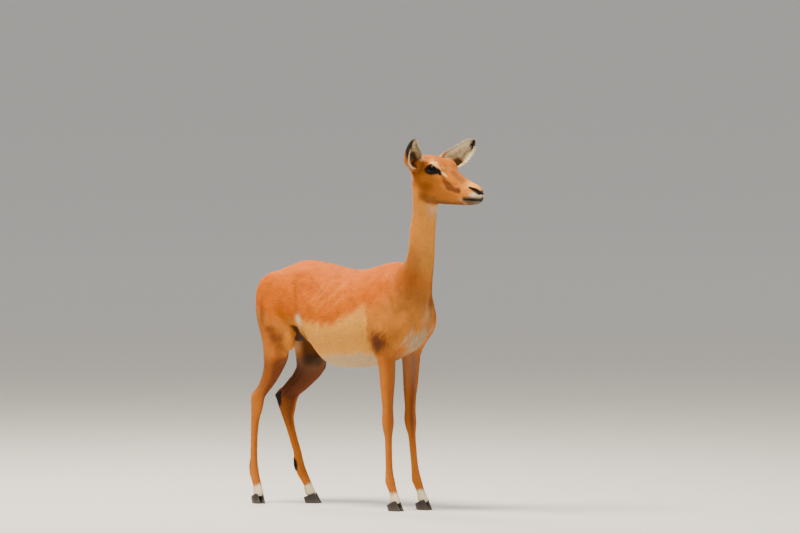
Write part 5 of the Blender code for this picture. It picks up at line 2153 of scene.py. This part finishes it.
@dataclass(frozen=True)
class Eyeball:
    """One eye, with its cornea's bulge."""

    socket: EyeSocket
    bulge: float = 0.001
    cornea: float = math.radians(38)
    pupil: tuple[float, float] = (0.0085, 0.0036)  # half its length and half its height
    corners: float = 2.6  # over 2, the pupil is squarer than an ellipse
    iris: float = 0.0132

    def build(self, material: Material) -> Object:
        """The eyeball, in the row's frame."""
        socket = self.socket
        away = np.concatenate([np.linspace(0.02, 1.2, 44), np.linspace(1.3, math.pi - 0.05, 14)])[:, None]
        turn = full_turn(64)[None, :]
        look, ahead, up = np.cos(away) + 0 * turn, np.sin(away) * np.cos(turn), np.sin(away) * np.sin(turn)
        radius = socket.radius + self.bulge * (1 - ease(0.0, self.cornea, away))
        rings = socket.centre + (np.stack((look, ahead, up), axis=-1) * radius[..., None]) @ socket.axes
        points, faces = capped(rings)
        mesh = mesh_of(f"eyeball_{socket.side.word}", points - ORIGIN, faces)
        own = (points - socket.centre) @ socket.axes.T
        slot = (np.abs(own[:, 1:] / self.pupil) ** self.corners).sum(axis=1) ** (1 / self.corners)
        front = own[:, 0] > 0
        inside = ease(1.1, 0.9, slot) * front
        edge = np.maximum(ease(self.iris - 0.0015, self.iris, np.hypot(own[:, 1], own[:, 2])), ~front)
        note(mesh, "eye", np.stack((inside, edge, 0 * edge), axis=1))
        mesh.materials.append(material)
        return faced_out(new_object(mesh.name, mesh))


@dataclass(frozen=True)
class Lids:
    """The bare black edge of one eye's lids, and its lashes."""

    socket: EyeSocket
    lashes: int = 30

    def build(self, material: Material) -> Object:
        """The lids' edge as a ring round the opening, with the lashes on its upper half."""
        socket = self.socket
        turn = full_turn(120)
        line = socket.on_ball(np.ones(120), turn, np.full(120, socket.radius + 0.001))
        radii = 0.0013 + 0.0006 * np.abs(np.cos(turn)) ** 8 + 0.0002 * np.sin(turn)
        points, edge = swept(line, radii, unit(line - socket.centre), 10, True)
        faces = [edge]
        rng = np.random.default_rng(40)
        for angle in np.linspace(0.35, 2.75, self.lashes) + rng.normal(size=self.lashes) * 0.02:
            lash, sides = self._lash(angle, rng.uniform(0.007, 0.0105))
            faces.append(sides + len(points))
            points = np.vstack([points, lash])
        mesh = mesh_of(f"lids_{socket.side.word}", points - ORIGIN, np.vstack(faces))
        mesh.materials.append(material)
        return faced_out(new_object(mesh.name, mesh))

    def _lash(self, angle: float, length: float) -> tuple[Array, Array]:
        """One lash, bent down and out from a place on the lid."""
        socket = self.socket
        root, out = socket.on_ball(np.array((1.03, 1.35)), angle, socket.radius + np.array((0.0016, 0.0075)))
        bend = np.linspace(0.0, 1.0, 5)[:, None]
        hang = (socket.axes[2] * -0.25 + socket.axes[0] * 0.2) * length * bend**2
        path = root + unit(out - root) * length * bend + hang
        return swept(path, 0.0003 * (1.02 - bend[:, 0]), np.tile(socket.axes[1], (5, 1)), 4, False)


@dataclass(frozen=True)
class Hoof:
    """The two claws of one foot."""

    leg: Leg
    length: float = 0.05
    width: float = 0.018
    spread: float = 0.0102  # half the distance between the claws' middles
    forward: float = 0.006  # how far it stands ahead of the coronet's middle
    toed_in: float = math.radians(4.0)
    lean: float = 0.42  # how far the front leans back for each unit of height
    front: float = 0.036  # the height of the upper edge at the toe
    heel: float = 0.02
    point: float = 0.42  # how much of its width it loses towards the toe
    ring_gap: float = 0.0033  # the height between two growth rings
    ring_depth: float = 0.006  # how far they stand out, as a share of its size

    def claw(self, sign: float, name: str, material: Material) -> Object:
        """One claw, flat where it stands.

        Args:
            sign: 1 for the claw on the left, -1 for the one on the right.
            name: the piece's name.
            material: the horn's material.

        Returns:
            The object, in the row's frame.
        """
        turn = full_turn(56)[None, :]
        level = np.concatenate([(0.0, 0.015, 0.04, 0.08), np.linspace(0.13, 1.0, 40)])[:, None]
        reach, across = np.cos(turn), np.sin(turn)
        top = (self.front + self.heel) / 2 + (self.front - self.heel) / 2 * reach
        height = level * top
        size = through(height, (0.0, 0.985), (0.0012, 1.015), (0.004, 1.04), (0.045, 0.78))
        size = size + self.ring_depth * np.sin(height / self.ring_gap * 2 * math.pi) * ease(0.2, 0.4, level)
        pointed = 1.0 - self.point * np.maximum(reach, 0.0) ** 2
        along = reach * self.length / 2 * size - height * self.lean
        side = across * self.width / 2 * pointed * size**0.6
        coronet = self.leg.sections[-2]
        middle = (coronet.first + coronet.second) / 2
        cos, sin = math.cos(self.toed_in), sign * math.sin(self.toed_in)
        ahead = along * cos + side * sin + middle + self.forward
        across = side * cos - along * sin + sign * self.spread + coronet.offset
        placed = self.leg.pose(np.stack((ahead, across, 0 * height), axis=-1), middle, coronet.offset)
        placed[..., 2] = height
        points, faces = capped(placed)
        mesh = mesh_of(name, points - ORIGIN, faces)
        mesh.materials.append(material)
        return faced_out(new_object(name, mesh))


# ---- studio
@dataclass(frozen=True)
class Lamp:
    """A soft square light, placed from what the camera looks at."""

    name: str
    right: float
    up: float
    towards: float  # how far it stands on the camera's side
    size: float
    power: float
    colour: tuple[float, float, float]


def turned_to(name: str, data: ID, place: Vector, way: Vector) -> Object:
    """A camera or a light at a place, looking a way."""
    made = new_object(name, data)
    made.location = place
    made.rotation_mode = "QUATERNION"
    made.rotation_quaternion = way.to_track_quat("-Z", "Y")
    return made


@dataclass(frozen=True)
class Studio:
    """The camera, the lights and the floor."""

    azimuth: float = math.radians(42)
    elevation: float = math.radians(3)
    distance: float = 60.0
    lens: float = 806.0
    aim: tuple[float, float, float] = (-0.0075, 0.1509, 0.8032)
    air: tuple[float, float, float] = (1.0, 0.97, 0.92)
    air_strength: float = 0.42
    floor_reach: float = 90.0
    lamps: tuple[Lamp, ...] = (
        Lamp("key", -1.75, 4.5, 1.25, 1.9, 820.0, (1.0, 0.9, 0.72)),
        Lamp("fill", 3.0, 1.2, 3.0, 3.0, 130.0, (0.95, 0.97, 1.0)),
        Lamp("rim", -1.2, 3.2, -2.2, 1.4, 150.0, (1.0, 0.92, 0.8)),
    )

    def build(self, floor_material: Material) -> Object:
        """Sets the stage up and gives back the floor."""
        back = Vector((
            math.sin(self.azimuth) * math.cos(self.elevation),
            -math.cos(self.azimuth) * math.cos(self.elevation),
            math.sin(self.elevation),
        ))
        right = Vector((math.cos(self.azimuth), math.sin(self.azimuth), 0.0))
        up = back.cross(right)
        aim = Vector(self.aim)
        camera = bpy.data.cameras.new("camera")
        camera.lens = self.lens
        camera.sensor_width = 36.0
        camera.clip_end = 400.0
        bpy.context.scene.camera = turned_to("camera", camera, aim + back * self.distance, -back)
        for lamp in self.lamps:
            data = bpy.data.lights.new(lamp.name, "AREA")
            data.size = lamp.size
            data.energy = lamp.power
            data.color = lamp.colour
            place = aim + right * lamp.right + up * lamp.up + back * lamp.towards
            turned_to(lamp.name, data, place, aim - place)
        world = bpy.data.worlds.new("air")
        world.use_nodes = True
        air = world.node_tree.nodes["Background"].inputs
        air["Color"].default_value = (*self.air, 1.0)
        air["Strength"].default_value = self.air_strength
        bpy.context.scene.world = world
        corners = np.array(((-1, -1, 0), (1, -1, 0), (1, 1, 0), (-1, 1, 0)), float) * self.floor_reach
        mesh = mesh_of("floor", corners, np.array(((0, 1, 2, 3),)))
        mesh.materials.append(floor_material)
        return new_object("floor", mesh)


# ---- assembly
def settle(piece: Object, slot: str, *nodes: str) -> None:
    """Fastens a piece to the model, hides the nodes that it stands for and logs its triangles.

    Args:
        piece: the piece, in the row's frame.
        slot: not used.
        nodes: the nodes that it stands for, if any.
    """
    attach(piece, "root")
    if nodes:
        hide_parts(*nodes)
    count = sum(p.loop_total - 2 for p in piece.data.polygons)
    LOG.info("%s: %d triangles", piece.name, count)


def main() -> None:
    """Builds the animal and the studio."""
    logging.basicConfig(level=logging.INFO, format="%(message)s")
    finish = CoatFinish()
    skin = Skin()
    coat = Coat(skin, finish.material(relief=False))
    for region in Region:
        settle(coat.grow(region), "fawn")
    for piece in Trimmings(coat).all():
        settle(piece, "fawn")
    skin.made.data.transform(Matrix.Translation(-Vector(ORIGIN)))
    skin.made.data.materials.clear()
    skin.made.data.materials.append(finish.material(relief=True))
    legs = [f"leg_{leg.name}" for leg in LEGS]
    settle(skin.made, "fawn", "head", "neck", "trunk", "tail", "ear_left", "ear_right", *legs)
    wet, bare, horn = EyeFinish().material(), LidFinish().material(), HornFinish().material()
    for socket in SOCKETS:
        settle(Eyeball(socket).build(wet), "eye", f"eye_{socket.side.word}")
        settle(Lids(socket).build(bare), "horn")
    for leg in LEGS:
        hoof = Hoof(leg)
        for which, sign in (("outer", leg.side.value), ("inner", -leg.side.value)):
            name = f"{leg.name}_{which}"
            settle(hoof.claw(sign, f"claw_{name}", horn), "horn", f"hoof_{name}")
    Studio().build(StageFinish().material())


if __name__ == "__main__":
    main()
